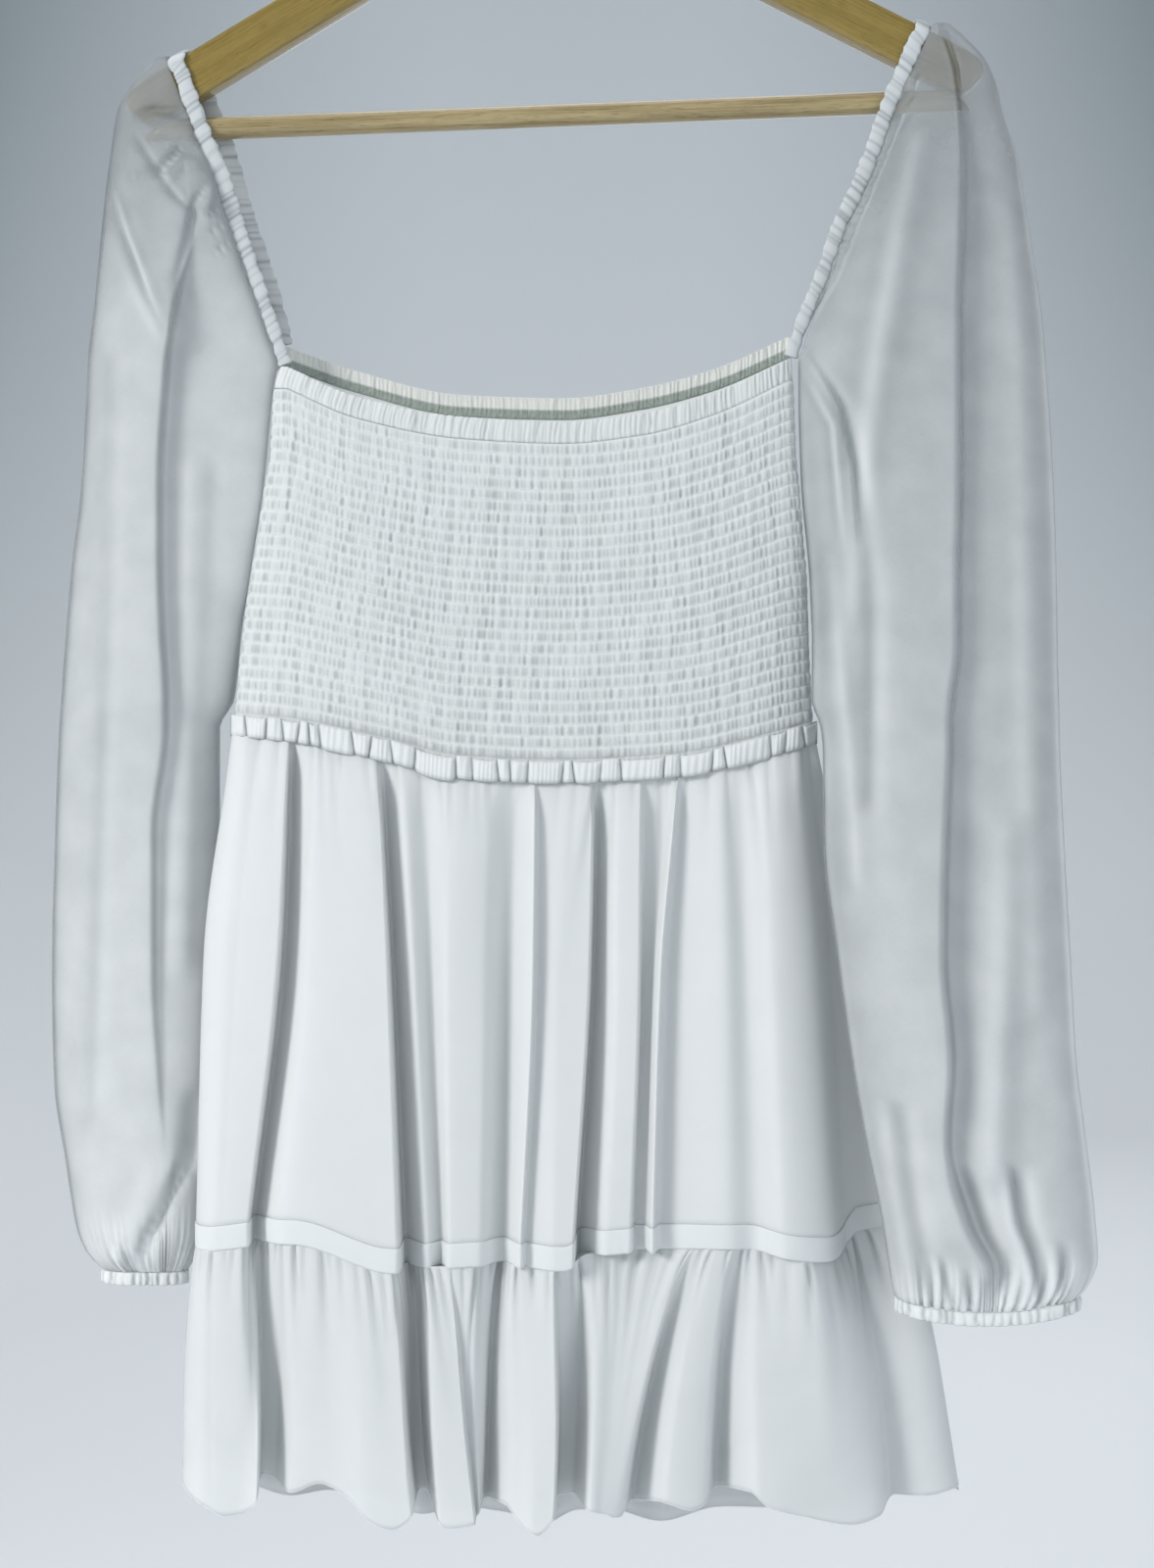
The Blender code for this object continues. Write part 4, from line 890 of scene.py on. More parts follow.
# The tier bands: the seam allowance of doubled cloth between the upper skirt and the flounce, which shows
# as a whiter strip 11.5 mm deep. It follows the folds.
BAND_HEIGHT = 11.5
BAND_OVERLAP = 0.8
BAND_DROPS = np.array([0, 0.4, 1.2, 3.5, 6, 8.5, 11.2, BAND_HEIGHT + BAND_OVERLAP])
BAND_SWELL = np.array([0.3, 0.42, 0.5, 0.5, 0.5, 0.5, 0.45, 0.3])
BAND_WALL = 0.5

band_cloth = chiffon("doubled strip", (0.75, 0.77, 0.78), (0.58, 0.61, 0.62), crepe=0.3)
for face in ("front", "back"):
    edge = skirt_grid(face, [1.0], SKIRT_STEPS[face])
    strip = edge - (BAND_DROPS - BAND_OVERLAP)[:, None, None] * (0, 0, 1)
    columns = np.arange(strip.shape[1])
    ruck = gathers(columns * 1.5, 1, 6.0, 1.6, 41)[0] * np.clip(columns / 8, 0, 1)
    low = np.clip(BAND_DROPS / BAND_HEIGHT - 0.4, 0, 1)
    relief = BAND_SWELL[:, None] - 0.5 * low[:, None] * ruck
    strip = strip + outward(strip) * relief[..., None]
    inner = strip - outward(strip) * BAND_WALL
    piece = cloth_shell(f"tier_band_{face}_cloth", strip, inner, band_cloth, 0.7)
    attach(piece, "root")
    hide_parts(f"tier_band_{face}")


# The flounce: a front and a back panel gathered onto the tier seam and opening into deep uneven folds. Its
# edge is a fine picot of thread.
FLOUNCE_SET = -0.8
FLOUNCE_TUCK = 0.5
FLOUNCE_GATHER = 2.7
FLOUNCE_SWAY = 2.2
FLOUNCE_GATHER_REACH = 27
FLOUNCE_GATHER_PITCH = 6.0
FLOUNCE_SEED = {"front": 51, "back": 52}
FLOUNCE_STEPS = 12
FLOUNCE_SHARES = np.linspace(0, 1, 61) ** 1.25
PICOT_PITCH = 1.15
PICOT_RADIUS = 0.42

HEM_FRONT = Table(
    "across drop",
    (-189.0, 903.0),
    (-176.0, 909.5),
    (-166.0, 914.0),
    (-156.0, 912.0),
    (-150.5, 907.0),
    (-146.0, 899.0),
    (-133.0, 902.5),
    (-116.5, 896.5),
    (-103.5, 901.0),
    (-90.5, 912.5),
    (-80.0, 915.5),
    (-73.0, 912.5),
    (-68.5, 907.0),
    (-64.0, 906.0),
    (-52.0, 917.0),
    (-38.0, 915.0),
    (-34.5, 910.5),
    (-22.0, 906.0),
    (-15.0, 912.5),
    (-5.5, 917.5),
    (-1.0, 914.5),
    (3.0, 909.0),
    (7.0, 909.0),
    (15.0, 907.5),
    (27.0, 909.5),
    (35.0, 912.5),
    (44.0, 911.0),
    (57.0, 906.0),
    (74.0, 910.5),
    (85.0, 905.0),
    (103.0, 900.5),
    (113.0, 908.0),
    (130.0, 913.0),
    (157.0, 919.0),
    (170.0, 916.0),
    (177.0, 911.0),
    (193.0, 911.0),
    (211.5, 908.0),
)
HEM_BACK = Table("across drop", (-193, 897), (-120, 915), (0, 927), (110, 924), (212, 911))
FLOUNCE_FRONT = Table(
    "top_x hem_x hem_y",
    (-180.0, -189.0, 1.0),
    (-171.0, -175.0, -21.0),
    (-157.0, -158.0, -24.0),
    (-150.0, -150.0, -29.0),
    (-147.6, -147.0, -3.0),
    (-140.0, -140.0, -3.0),
    (-130.0, -131.0, -21.0),
    (-114.0, -111.0, -27.0),
    (-99.0, -91.0, -37.0),
    (-82.0, -69.0, -39.0),
    (-78.8, -65.4, -5.0),
    (-70.5, -62.0, -4.0),
    (-63.0, -56.0, -32.0),
    (-51.5, -39.5, -33.0),
    (-49.0, -38.6, -22.0),
    (-40.0, -37.6, -24.0),
    (-27.5, -36.6, -20.0),
    (-24.0, -34.0, -7.0),
    (-17.0, -22.0, -31.0),
    (-9.0, -8.0, -41.0),
    (2.0, 2.5, -41.0),
    (5.2, 5.6, -5.0),
    (13.0, 13.0, -4.0),
    (24.0, 23.0, -34.0),
    (45.0, 29.0, -32.0),
    (73.0, 36.0, -28.0),
    (76.6, 42.0, -5.0),
    (84.0, 59.0, -26.0),
    (93.5, 77.0, -22.0),
    (97.5, 83.5, -4.0),
    (107.0, 106.0, -29.0),
    (130.0, 139.0, -24.0),
    (150.0, 170.0, -15.0),
    (154.0, 176.0, 3.0),
    (165.0, 193.0, 0.0),
    (179.0, 211.5, 10.0),
)
FLOUNCE_BACK = Table(
    "top_x hem_x hem_y",
    (-180.0, -189.0, 1.0),
    (-165.0, -176.0, 20.0),
    (-148.0, -154.0, 12.0),
    (-132.0, -134.0, 6.0),
    (-112.0, -108.0, 26.0),
    (-92.0, -84.0, 24.0),
    (-75.0, -66.0, 7.0),
    (-55.0, -44.0, 26.0),
    (-36.0, -24.0, 22.0),
    (-14.0, -4.0, 6.0),
    (8.0, 16.0, 27.0),
    (28.0, 38.0, 24.0),
    (46.0, 60.0, 7.0),
    (68.0, 86.0, 26.0),
    (88.0, 108.0, 22.0),
    (108.0, 130.0, 9.0),
    (130.0, 156.0, 26.0),
    (152.0, 182.0, 21.0),
    (179.0, 211.5, 10.0),
)


def flounce_grid(face, shares, parts):
    table = FLOUNCE_FRONT if face == "front" else FLOUNCE_BACK
    hem = HEM_FRONT if face == "front" else HEM_BACK
    seam_x, seam_y = skirt_section(face, 1, parts)
    order = np.argsort(seam_x)
    top_y = np.interp(table["top_x"], seam_x[order], seam_y[order])
    seam_level = TIER_LEVEL.at("drop", seam_x)[order] + BAND_HEIGHT + FLOUNCE_SET
    hem_y = table["hem_y"].copy()
    hem_y[[0, -1]] += FORWARD[face] * SEAM_GAP / 2
    rows = []
    for share in shares:
        opened = share**0.7
        lines_x = table["top_x"] + (table["hem_x"] - table["top_x"]) * opened
        lines_x = lines_x + FLOUNCE_SWAY * np.sin(3.2 * share + 0.045 * table["top_x"]) * share
        lines_y = top_y + (hem_y - top_y) * opened
        x, y = across_lines(lines_x, parts), across_lines(lines_y, parts)
        x, y = round_the_ends(lines_x, lines_y, x, y, parts)
        top = np.interp(x, seam_x[order], seam_level)
        rows.append(at_level(x, y, top + (hem.at("drop", x) - top) * share))
    return turned(face, np.array(rows))


def stitch_tree():
    """Nodes that set a row of small thread loops along a curve, as one realized mesh."""
    tree = bpy.data.node_groups.new("picot stitches", "GeometryNodeTree")
    sockets = (
        ("Geometry", "Geometry"),
        ("Pitch", "Float"),
        ("Loop radius", "Float"),
        ("Thread", "Material"),
    )
    for name, kind in sockets:
        tree.interface.new_socket(name, in_out="INPUT", socket_type="NodeSocket" + kind)
    tree.interface.new_socket("Geometry", in_out="OUTPUT", socket_type="NodeSocketGeometry")
    nodes = tree.nodes
    given = nodes.new("NodeGroupInput")
    result = nodes.new("NodeGroupOutput")
    to_curve = nodes.new("GeometryNodeMeshToCurve")
    spaced = nodes.new("GeometryNodeResampleCurve")
    spaced.mode = "LENGTH"
    bead = nodes.new("GeometryNodeMeshUVSphere")
    bead.inputs["Segments"].default_value = 6
    bead.inputs["Rings"].default_value = 4
    placed = nodes.new("GeometryNodeInstanceOnPoints")
    size = nodes.new("FunctionNodeRandomValue")
    size.data_type = "FLOAT_VECTOR"
    size.inputs["Seed"].default_value = 5
    size.inputs[0].default_value = (0.8, 0.8, 0.9)
    size.inputs[1].default_value = (1.15, 1.15, 1.4)
    realized = nodes.new("GeometryNodeRealizeInstances")
    dyed = nodes.new("GeometryNodeSetMaterial")
    links = (
        (given, "Geometry", to_curve, "Mesh"),
        (to_curve, "Curve", spaced, "Curve"),
        (given, "Pitch", spaced, "Length"),
        (given, "Loop radius", bead, "Radius"),
        (spaced, "Curve", placed, "Points"),
        (bead, "Mesh", placed, "Instance"),
        (size, 0, placed, "Scale"),
        (placed, "Instances", realized, "Geometry"),
        (realized, "Geometry", dyed, "Geometry"),
        (given, "Thread", dyed, "Material"),
        (dyed, "Geometry", result, "Geometry"),
    )
    for start, output, end, socket in links:
        tree.links.new(start.outputs[output], end.inputs[socket])
    return tree


def stitched(name, route, pitch, radius, thread):
    """A row of picot loops along a route of points in millimetres."""
    mesh = bpy.data.meshes.new(name)
    edges = [(i, i + 1) for i in range(len(route) - 1)]
    mesh.from_pydata((np.asarray(route) * MM).tolist(), edges, [])
    carrier = bpy.data.objects.new(name, mesh)
    bpy.context.scene.collection.objects.link(carrier)
    modifier = carrier.modifiers.new("stitches", "NODES")
    modifier.node_group = picot
    values = {"Pitch": pitch * MM, "Loop radius": radius * MM, "Thread": thread}
    for item in picot.interface.items_tree:
        if item.in_out == "INPUT" and item.name in values:
            modifier[item.identifier] = values[item.name]
    made = bpy.data.meshes.new_from_object(carrier.evaluated_get(bpy.context.evaluated_depsgraph_get()))
    bpy.data.objects.remove(carrier)
    made.shade_smooth()
    piece = bpy.data.objects.new(name, made)
    bpy.context.scene.collection.objects.link(piece)
    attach(piece, "root")
    return piece


picot = stitch_tree()
thread, wire, shader = finish("hem thread", Roughness=0.6, Sheen_Weight=0.2)
place = wire.node("ShaderNodeTexCoord", output=3)
dress_up(wire, shader, place.noise(900.0).ranged(0.3, 0.7).mixed((0.74, 0.77, 0.80), (0.90, 0.92, 0.94)))
flounce_cloth = chiffon("soft flounce chiffon", (0.81, 0.83, 0.84), (0.60, 0.63, 0.64), 0.74)
for face in ("front", "back"):
    panel = flounce_grid(face, FLOUNCE_SHARES, FLOUNCE_STEPS)
    fine = fading(panel, FLOUNCE_GATHER_REACH, FLOUNCE_SEED[face], FLOUNCE_GATHER_PITCH, 0.9)
    edge = held_ends(panel.shape[1], 8)
    out_from_seam = np.clip(cloth_lengths(panel)[1] / 3.5, 0, 1)
    relief = (-FLOUNCE_GATHER * fine * out_from_seam - FLOUNCE_TUCK * (1 - out_from_seam)) * edge
    panel = panel + outward(panel) * relief[..., None]
    inner = (panel - outward(panel) * CLOTH_THICKNESS)[::2]
    # Painted shade: darker in the gathers' hollows and in the troughs of the folds, lighter on their ridges.
    full = np.clip(0.88 - 0.65 * fine + trough(panel, 8), 0, 1)
    piece = cloth_shell(f"flounce_{face}_cloth", panel, inner, flounce_cloth, full, 0.7)
    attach(piece, "root")
    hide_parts(f"flounce_{face}")
    hem = (panel[-1] + inner[-1]) / 2
    stitches = stitched(f"flounce_{face}_picot", hem, PICOT_PITCH, PICOT_RADIUS, thread)
    below = [f"tier_band_{face}_cloth"]


# The sleeves: long, full and quite sheer, open along the neck edge and hanging flat from the hanger's
# arms. Their folds are those of a soft cloth hung by its head and drawn in at the wrist.
SLEEVE_SIDE = {"left": -1, "right": 1}
SLEEVE_DROOP = {"left": 0.0, "right": 5.0}
HEAD_CASING_Y = 7.55
CASING_WIDTH = 6.8
CASING_CLEARANCE = 1.3
CASING_BEND_CLEARANCE = 1.8
NECK_CORNER = {"left": (334.0, 324.0), "right": (330.0, 319.0)}
FOLD_EDGE = 0.8
FOLD_STEP = 1.35
FOLD_HEIGHT = 1.7
WRIST_REACH = 34
WRIST_PLEAT = 2.2
WRIST_SEED = 61
HEAD_ROWS = 6  # rows of the table that the sleeve follows point by point at its head
SLEEVE_ROWS = 181
SLEEVE_COLUMNS = (100, 56)  # of the front and of the back sheet
# How closely each sleeve covers, down from its head: this sets its alpha and also a painted shade, darker and
# more see-through at the shoulders and darker on the right sleeve.
VEIL_AND_SHADE = Table(
    "down left right",
    (0, 0.34, 0.32),
    (25, 0.35, 0.33),
    (70, 0.46, 0.40),
    (140, 0.63, 0.50),
    (300, 0.70, 0.57),
    (650, 0.78, 0.71),
)
Fold = namedtuple("Fold", "height left right route")  # widths of its left and right slopes; (drop, across)

HEAD_CASING = {
    "left": Table(
        "drop front back",
        (178, -189.5, -183.0),
        (194, -184.5, -175.5),
        (205, -180.5, -171.5),
        (222, -174.0, -164.5),
        (237, -167.0, -160.0),
        (255, -161.5, -155.0),
        (272, -156.0, -149.0),
        (303, -145.0, -138.7),
        (334, -134.3, -131.0),
    ),
    "right": Table(
        "drop front back",
        (160, 191.2, 193.5),
        (186, 180.3, 185.0),
        (203, 173.0, 178.0),
        (225, 165.5, 169.0),
        (247, 156.5, 160.0),
        (262, 149.0, 154.0),
        (288, 139.8, 143.5),
        (310, 130.5, 131.0),
        (331, 123.2, 123.2),
    ),
}
SLEEVE = {
    "left": Table(
        "drop outer inner seam_y gap front back fold step",
        (177.2, -196.8, -190.5, 0, 0.3, -0.6, 0.6, -182, 0),
        (178.4, -199.3, -190.5, 0, 4.8, -5.2, 5.2, -182, 0),
        (181.4, -203.0, -190.5, 0, 7.8, -8.4, 8.4, -182, 0),
        (187.0, -209.0, -190.5, 0, 7.8, -8.8, 8.8, -182, 0),
        (194.0, -214.8, -190.5, 0, 7.8, -9.2, 9.2, -182, 0),
        (205.5, -220.5, -184.5, 0, 7.8, -10.2, 10.2, -182, 0),
        (222.0, -223.0, -178.0, 0, 7.4, -13.0, 12.0, -182, 0),
        (240.0, -225.5, -169.5, 0, 7.4, -17.0, 14.0, -182, 0),
        (272.0, -229.0, -160.0, 0, 7.4, -19.0, 17.0, -182, 3),
        (303.0, -232.0, -149.0, 0, 7.4, -18.0, 18.0, -189, 6),
        (334.0, -235.5, -138.6, 0, 7.2, -17.0, 20.0, -194, 7),
        (346.0, -236.0, -140.4, 0, 7.2, -16.5, 21.0, -195, 7),
        (398.0, -239.0, -145.6, 0, 7.2, -15.0, 24.0, -198, 7),
        (436.0, -243.5, -151.4, 0, 4.2, -14.0, 28.0, -198, 7),
        (470.0, -246.5, -156.4, 4, 0.15, -12.0, 30.0, -197, 7),
        (505.0, -249.0, -160.2, 12, 0.15, -9.0, 33.0, -195, 7),
        (519.0, -250.0, -167.5, 15, 0.15, -5.0, 36.0, -195, 6),
        (573.0, -252.0, -167.5, 24, 0.15, 3.0, 46.0, -201, 5),
        (643.0, -253.7, -168.0, 28, 0.15, 7.0, 50.0, -201, 4),
        (700.0, -252.5, -169.0, 30, 0.15, 8.0, 52.0, -198, 2),
        (738.0, -247.0, -171.0, 30, 0.15, 8.0, 52.0, -196, 0),
        (773.0, -241.0, -174.0, 29, 0.15, 9.0, 50.0, -196, 0),
        (786.0, -235.5, -178.5, 29, 0.15, 14.0, 44.0, -196, 0),
        (795.0, -227.0, -183.5, 29, 0.15, 20.0, 38.0, -196, 0),
    ),
    "right": Table(
        "drop outer inner seam_y gap front back fold step",
        (160.2, 202.0, 193.5, 0, 0.3, -0.6, 0.6, 201, 0),
        (161.3, 204.0, 193.5, 0, 4.8, -5.2, 5.2, 202, 0),
        (164.2, 207.5, 193.5, 0, 7.8, -8.4, 8.4, 203, 0),
        (170.0, 214.3, 191.0, 0, 7.8, -8.8, 8.8, 204, 0),
        (178.5, 222.7, 187.7, 0, 7.8, -9.2, 9.2, 206, 1),
        (190.5, 228.6, 183.0, 0, 7.8, -10.2, 10.2, 209, 2),
        (207.0, 232.5, 175.8, 0, 7.4, -13.0, 12.0, 211, 4),
        (225.5, 238.5, 169.5, 0, 7.4, -17.0, 14.0, 212, 6),
        (251.0, 243.0, 159.0, 0, 7.4, -20.0, 15.0, 212, 8),
        (280.0, 247.5, 146.8, 0, 7.4, -22.0, 16.0, 211, 9),
        (310.0, 252.0, 134.5, 0, 7.4, -23.0, 16.0, 210, 9),
        (331.0, 253.8, 127.2, 0, 7.2, -24.0, 16.0, 210, 9),
        (390.0, 257.7, 128.6, 0, 7.2, -27.0, 15.0, 210, 9),
        (445.0, 259.5, 133.2, 0, 3.0, -32.0, 13.0, 209, 9),
        (480.0, 260.0, 134.2, -6, 0.15, -36.0, 10.0, 209, 9),
        (505.0, 260.6, 134.0, -17, 0.15, -40.0, 6.0, 206, 9),
        (519.0, 261.0, 138.6, -22, 0.15, -43.0, 3.0, 205, 9),
        (530.0, 261.2, 139.8, -25, 0.15, -46.0, 0.0, 205, 9),
        (580.0, 263.5, 140.5, -32, 0.15, -54.0, -7.0, 203, 10),
        (634.0, 266.5, 147.0, -34, 0.15, -57.0, -9.0, 202, 10),
        (688.0, 269.5, 154.5, -35, 0.15, -58.0, -9.0, 206, 10),
        (726.0, 274.0, 161.0, -35, 0.15, -58.0, -9.0, 204, 9),
        (765.0, 278.7, 169.0, -34, 0.15, -58.0, -9.0, 214, 7),
        (790.0, 280.5, 173.0, -32, 0.15, -53.0, -11.0, 226, 4),
        (803.0, 276.0, 175.0, -31, 0.15, -48.0, -15.0, 226, 2),
        (809.0, 271.0, 176.5, -31, 0.15, -45.0, -18.0, 226, 0),
    ),
}
FRONT_FOLDS = {
    "left": (
        Fold(2.6, 5, 14, ((236, -228), (253, -224), (278, -215), (300, -205), (326, -191))),
        Fold(1.6, 8, 5, ((212, -219), (208, -205), (207, -191))),
        Fold(-1.6, 4, 4, ((216, -212), (230, -203), (250, -190), (262, -178))),
        Fold(2.0, 10, 6, ((330, -226), (420, -228), (520, -232), (640, -236), (720, -238))),
        Fold(1.5, 7, 7, ((380, -176), (470, -180), (560, -184), (640, -186))),
        Fold(-3.2, 7, 3, ((700, -178), (738, -181), (746, -188), (764, -197), (778, -205))),
        Fold(2.4, 10, 4, ((735, -192), (755, -196), (775, -208), (790, -217))),
        Fold(-1.8, 2.5, 2.5, ((778, -214), (785, -215), (795, -212))),
        Fold(-1.4, 2.0, 2.0, ((776, -222), (786, -221), (795, -219))),
    ),
    "right": (
        Fold(2.2, 9, 9, ((215, 190), (262, 180), (330, 168), (400, 158), (470, 152))),
        Fold(-2.6, 12, 6, ((345, 139), (372, 150), (420, 158), (470, 161), (560, 160))),
        Fold(1.6, 8, 5, ((430, 142), (480, 146), (535, 152), (600, 156))),
        Fold(2.6, 12, 10, ((560, 232), (620, 232), (690, 228), (745, 226))),
        Fold(-2.6, 6, 6, ((705, 176), (755, 182), (784, 188), (804, 192))),
        Fold(-3.0, 4, 8, ((738, 207), (755, 213), (774, 221), (788, 229), (797, 225))),
        Fold(-2.6, 3, 6, ((738, 237), (765, 241), (778, 246), (788, 249), (806, 252))),
        Fold(-2.6, 3, 5, ((776, 262), (786, 263), (800, 262))),
        Fold(-1.5, 2, 2, ((780, 200), (796, 203), (806, 205))),
        Fold(-1.5, 2, 2, ((784, 213), (798, 214), (808, 215))),
        Fold(1.8, 9, 9, ((250, 236), (340, 242), (450, 244), (560, 246), (660, 250))),
    ),
}
Crease = namedtuple("Crease", "height width route")  # the width either way; (across, drop)
FRONT_CREASES = {
    "left": (
        Crease(-3.0, 2.2, ((-186, 208), (-200, 207), (-213, 211.5))),
        Crease(1.8, 2.5, ((-187, 213), (-200, 212), (-210, 216))),
        Crease(-3.6, 2.3, ((-171.5, 230), (-187.5, 228.5), (-198, 239), (-211, 242))),
        Crease(2.2, 2.6, ((-176, 236), (-187, 235.5), (-194, 246))),
        Crease(4.4, 3.6, ((-164, 246), (-170, 251), (-176, 262))),
        Crease(-3.0, 2.2, ((-173, 246), (-181, 256), (-184, 276), (-191, 300))),
        Crease(-1.6, 1.1, ((-166, 256), (-174, 262))),
        Crease(-1.6, 1.1, ((-163, 264), (-173, 271))),
        Crease(-1.4, 1.1, ((-160, 272), (-170, 281))),
        Crease(-2.0, 1.8, ((-222, 248), (-214.5, 273), (-203.5, 303.5), (-195, 322))),
    ),
    "right": (
        Crease(-2.4, 1.4, ((193, 162), (202.5, 168), (208, 185), (210.5, 205), (211.5, 224))),
        Crease(-0.8, 1.2, ((192, 186), (184, 194))),
        Crease(-0.8, 1.2, ((188, 199), (181, 207))),
        Crease(-1.0, 1.1, ((186, 210), (178, 220))),
        Crease(1.6, 2.2, ((126, 334), (145, 368), (150, 428))),
        Crease(-2.0, 1.6, ((131, 329), (149, 358), (156, 388), (158, 428))),
    ),
}
BACK_FOLDS = {
    "left": (
        Fold(3.0, 9, 14, ((240, -214), (330, -208), (430, -210), (560, -216), (700, -214))),
        Fold(-2.5, 8, 6, ((300, -184), (420, -186), (540, -190), (660, -196), (760, -200))),
        Fold(2.0, 8, 8, ((420, -234), (540, -240), (680, -242), (770, -232))),
        Fold(-2.0, 4, 3, ((700, -222), (750, -218), (785, -212))),
    ),
    "right": (
        Fold(3.0, 14, 9, ((240, 214), (330, 208), (430, 206), (560, 212), (720, 222))),
        Fold(-2.5, 8, 6, ((280, 180), (420, 176), (560, 180), (700, 196), (780, 204))),
        Fold(2.0, 8, 8, ((420, 240), (540, 246), (680, 256), (780, 258))),
        Fold(-2.0, 4, 3, ((710, 236), (760, 240), (800, 244))),
    ),
}


def casing_side(side, y, drop):
    """Where the sleeve's inner edge lies against the head casing, at a depth from its front to its back."""
    share = np.clip((y + HEAD_CASING_Y) / (2 * HEAD_CASING_Y), 0, 1)
    table = HEAD_CASING[side]
    middle = table.at("front", drop) * (1 - share) + table.at("back", drop) * share
    bend = smooth(table["drop"][0] + (0, 30), (CASING_BEND_CLEARANCE, 0), drop)
    return middle + SLEEVE_SIDE[side] * (CASING_WIDTH / 2 + CASING_CLEARANCE + bend)


def raised(folds, across, drop, ends=16.0):
    """How far listed folds raise the cloth, each along its route and soft at both its ends."""
    height = np.zeros(across.shape)
    for fold in folds:
        drops, places = np.array(sorted(fold.route)).T
        away = across - smooth(drops, places, drop)
        width = np.where(away < 0, fold.left, fold.right)
        inside = np.clip((drop - drops[0]) / ends, 0, 1) * np.clip((drops[-1] + 6 - drop) / ends, 0, 1)
        height += fold.height * inside * (2 - inside) * np.exp(-((away / width) ** 2))
    return height


def creased(creases, across, drop):
    """How far short creases raise or sink the cloth, by the distance from each one's line."""
    height = np.zeros(across.shape)
    for crease in creases:
        nearest = np.full(across.shape, np.inf)
        along = np.zeros(across.shape)
        passed = 0.0
        for (x, z), (end_x, end_z) in zip(crease.route, crease.route[1:]):
            run_x, run_z = end_x - x, end_z - z
            share = np.clip(((across - x) * run_x + (drop - z) * run_z) / (run_x**2 + run_z**2), 0, 1)
            away = np.hypot(across - x - share * run_x, drop - z - share * run_z)
            along = np.where(away < nearest, passed + share * math.hypot(run_x, run_z), along)
            nearest = np.minimum(nearest, away)
            passed += math.hypot(run_x, run_z)
        faded = np.sin(np.clip(along / passed, 0.02, 0.98) * math.pi) ** 0.6
        height += faded * crease.height * np.exp(-((nearest / crease.width) ** 2))
    return height


def crowded(s, place, reach=0.08, crowding=5.0):
    """The same places from -1 to 1, some of them drawn towards one where the cloth turns sharply."""
    even = np.linspace(-1, 1, 601)
    total = np.cumsum(1 + crowding * np.exp(-(((even - place) / reach) ** 2)))
    total = (total - total[0]) / (total[-1] - total[0])
    return np.interp((s + 1) / 2, total, even)


def sleeve_ring(side, drop, front_count, back_count, flat=1.0):
    """One ring of a sleeve as points from its front inner edge, round its outer side, to its back one."""
    table = SLEEVE[side]
    value = {name: table.at(name, drop) for name in table.columns if name != "drop"}
    middle = (value["front"] + value["back"]) / 2
    tight = smooth((170, 215, 300, 900), (9.0, 4.0, 3.0, 3.0), drop)
    sheets = []
    for stretch, count, way, folds in (
        ("front", front_count, -1, FRONT_FOLDS[side]),
        ("back", back_count, 1, BACK_FOLDS[side]),
    ):
        inner = value["inner"]
        if drop < NECK_CORNER[side][0]:
            inner = casing_side(side, way * value["gap"], drop)
        s = spread(count, 0.5)
        if stretch == "front":
            s = crowded(s, 2 * (value["fold"] - inner) / (value["outer"] - inner) - 1)
        stand = rounded(s, tight)
        across = inner + (value["outer"] - inner) * (s + 1) / 2
        end = np.where(s < 0, value["seam_y"] + way * value["gap"], middle)
        y = value[stretch] + (end - value[stretch]) * (1 - stand)
        if stretch == "front":
            forward = 1 / (1 + np.exp((across - value["fold"]) / FOLD_EDGE))
            y -= FOLD_STEP * value["step"] * (forward - 0.5) * stand**2
            y -= creased(FRONT_CREASES[side], across, drop) * np.clip(stand * 1.5 - 0.2, 0, 1) * flat
        y += way * FOLD_HEIGHT * raised(folds, across, drop) * np.clip(stand * 1.3 - 0.3, 0, 1) * flat
        droop = SLEEVE_DROOP[side] * smooth((730, 805), (0.0, 1.0), drop) * (1 - s * s) * (way < 0)
        level = drawn_in(drop, EYE_DROP, middle) + droop
        sheets.append(at_level(across, y, level))
    return np.vstack([sheets[0], sheets[1][-2::-1]])


def sleeve_grid(side, drops, front_count, back_count, flat=1.0):
    grid = np.array([sleeve_ring(side, drop, front_count, back_count, flat) for drop in drops])
    return grid if side == "right" else grid[:, ::-1]


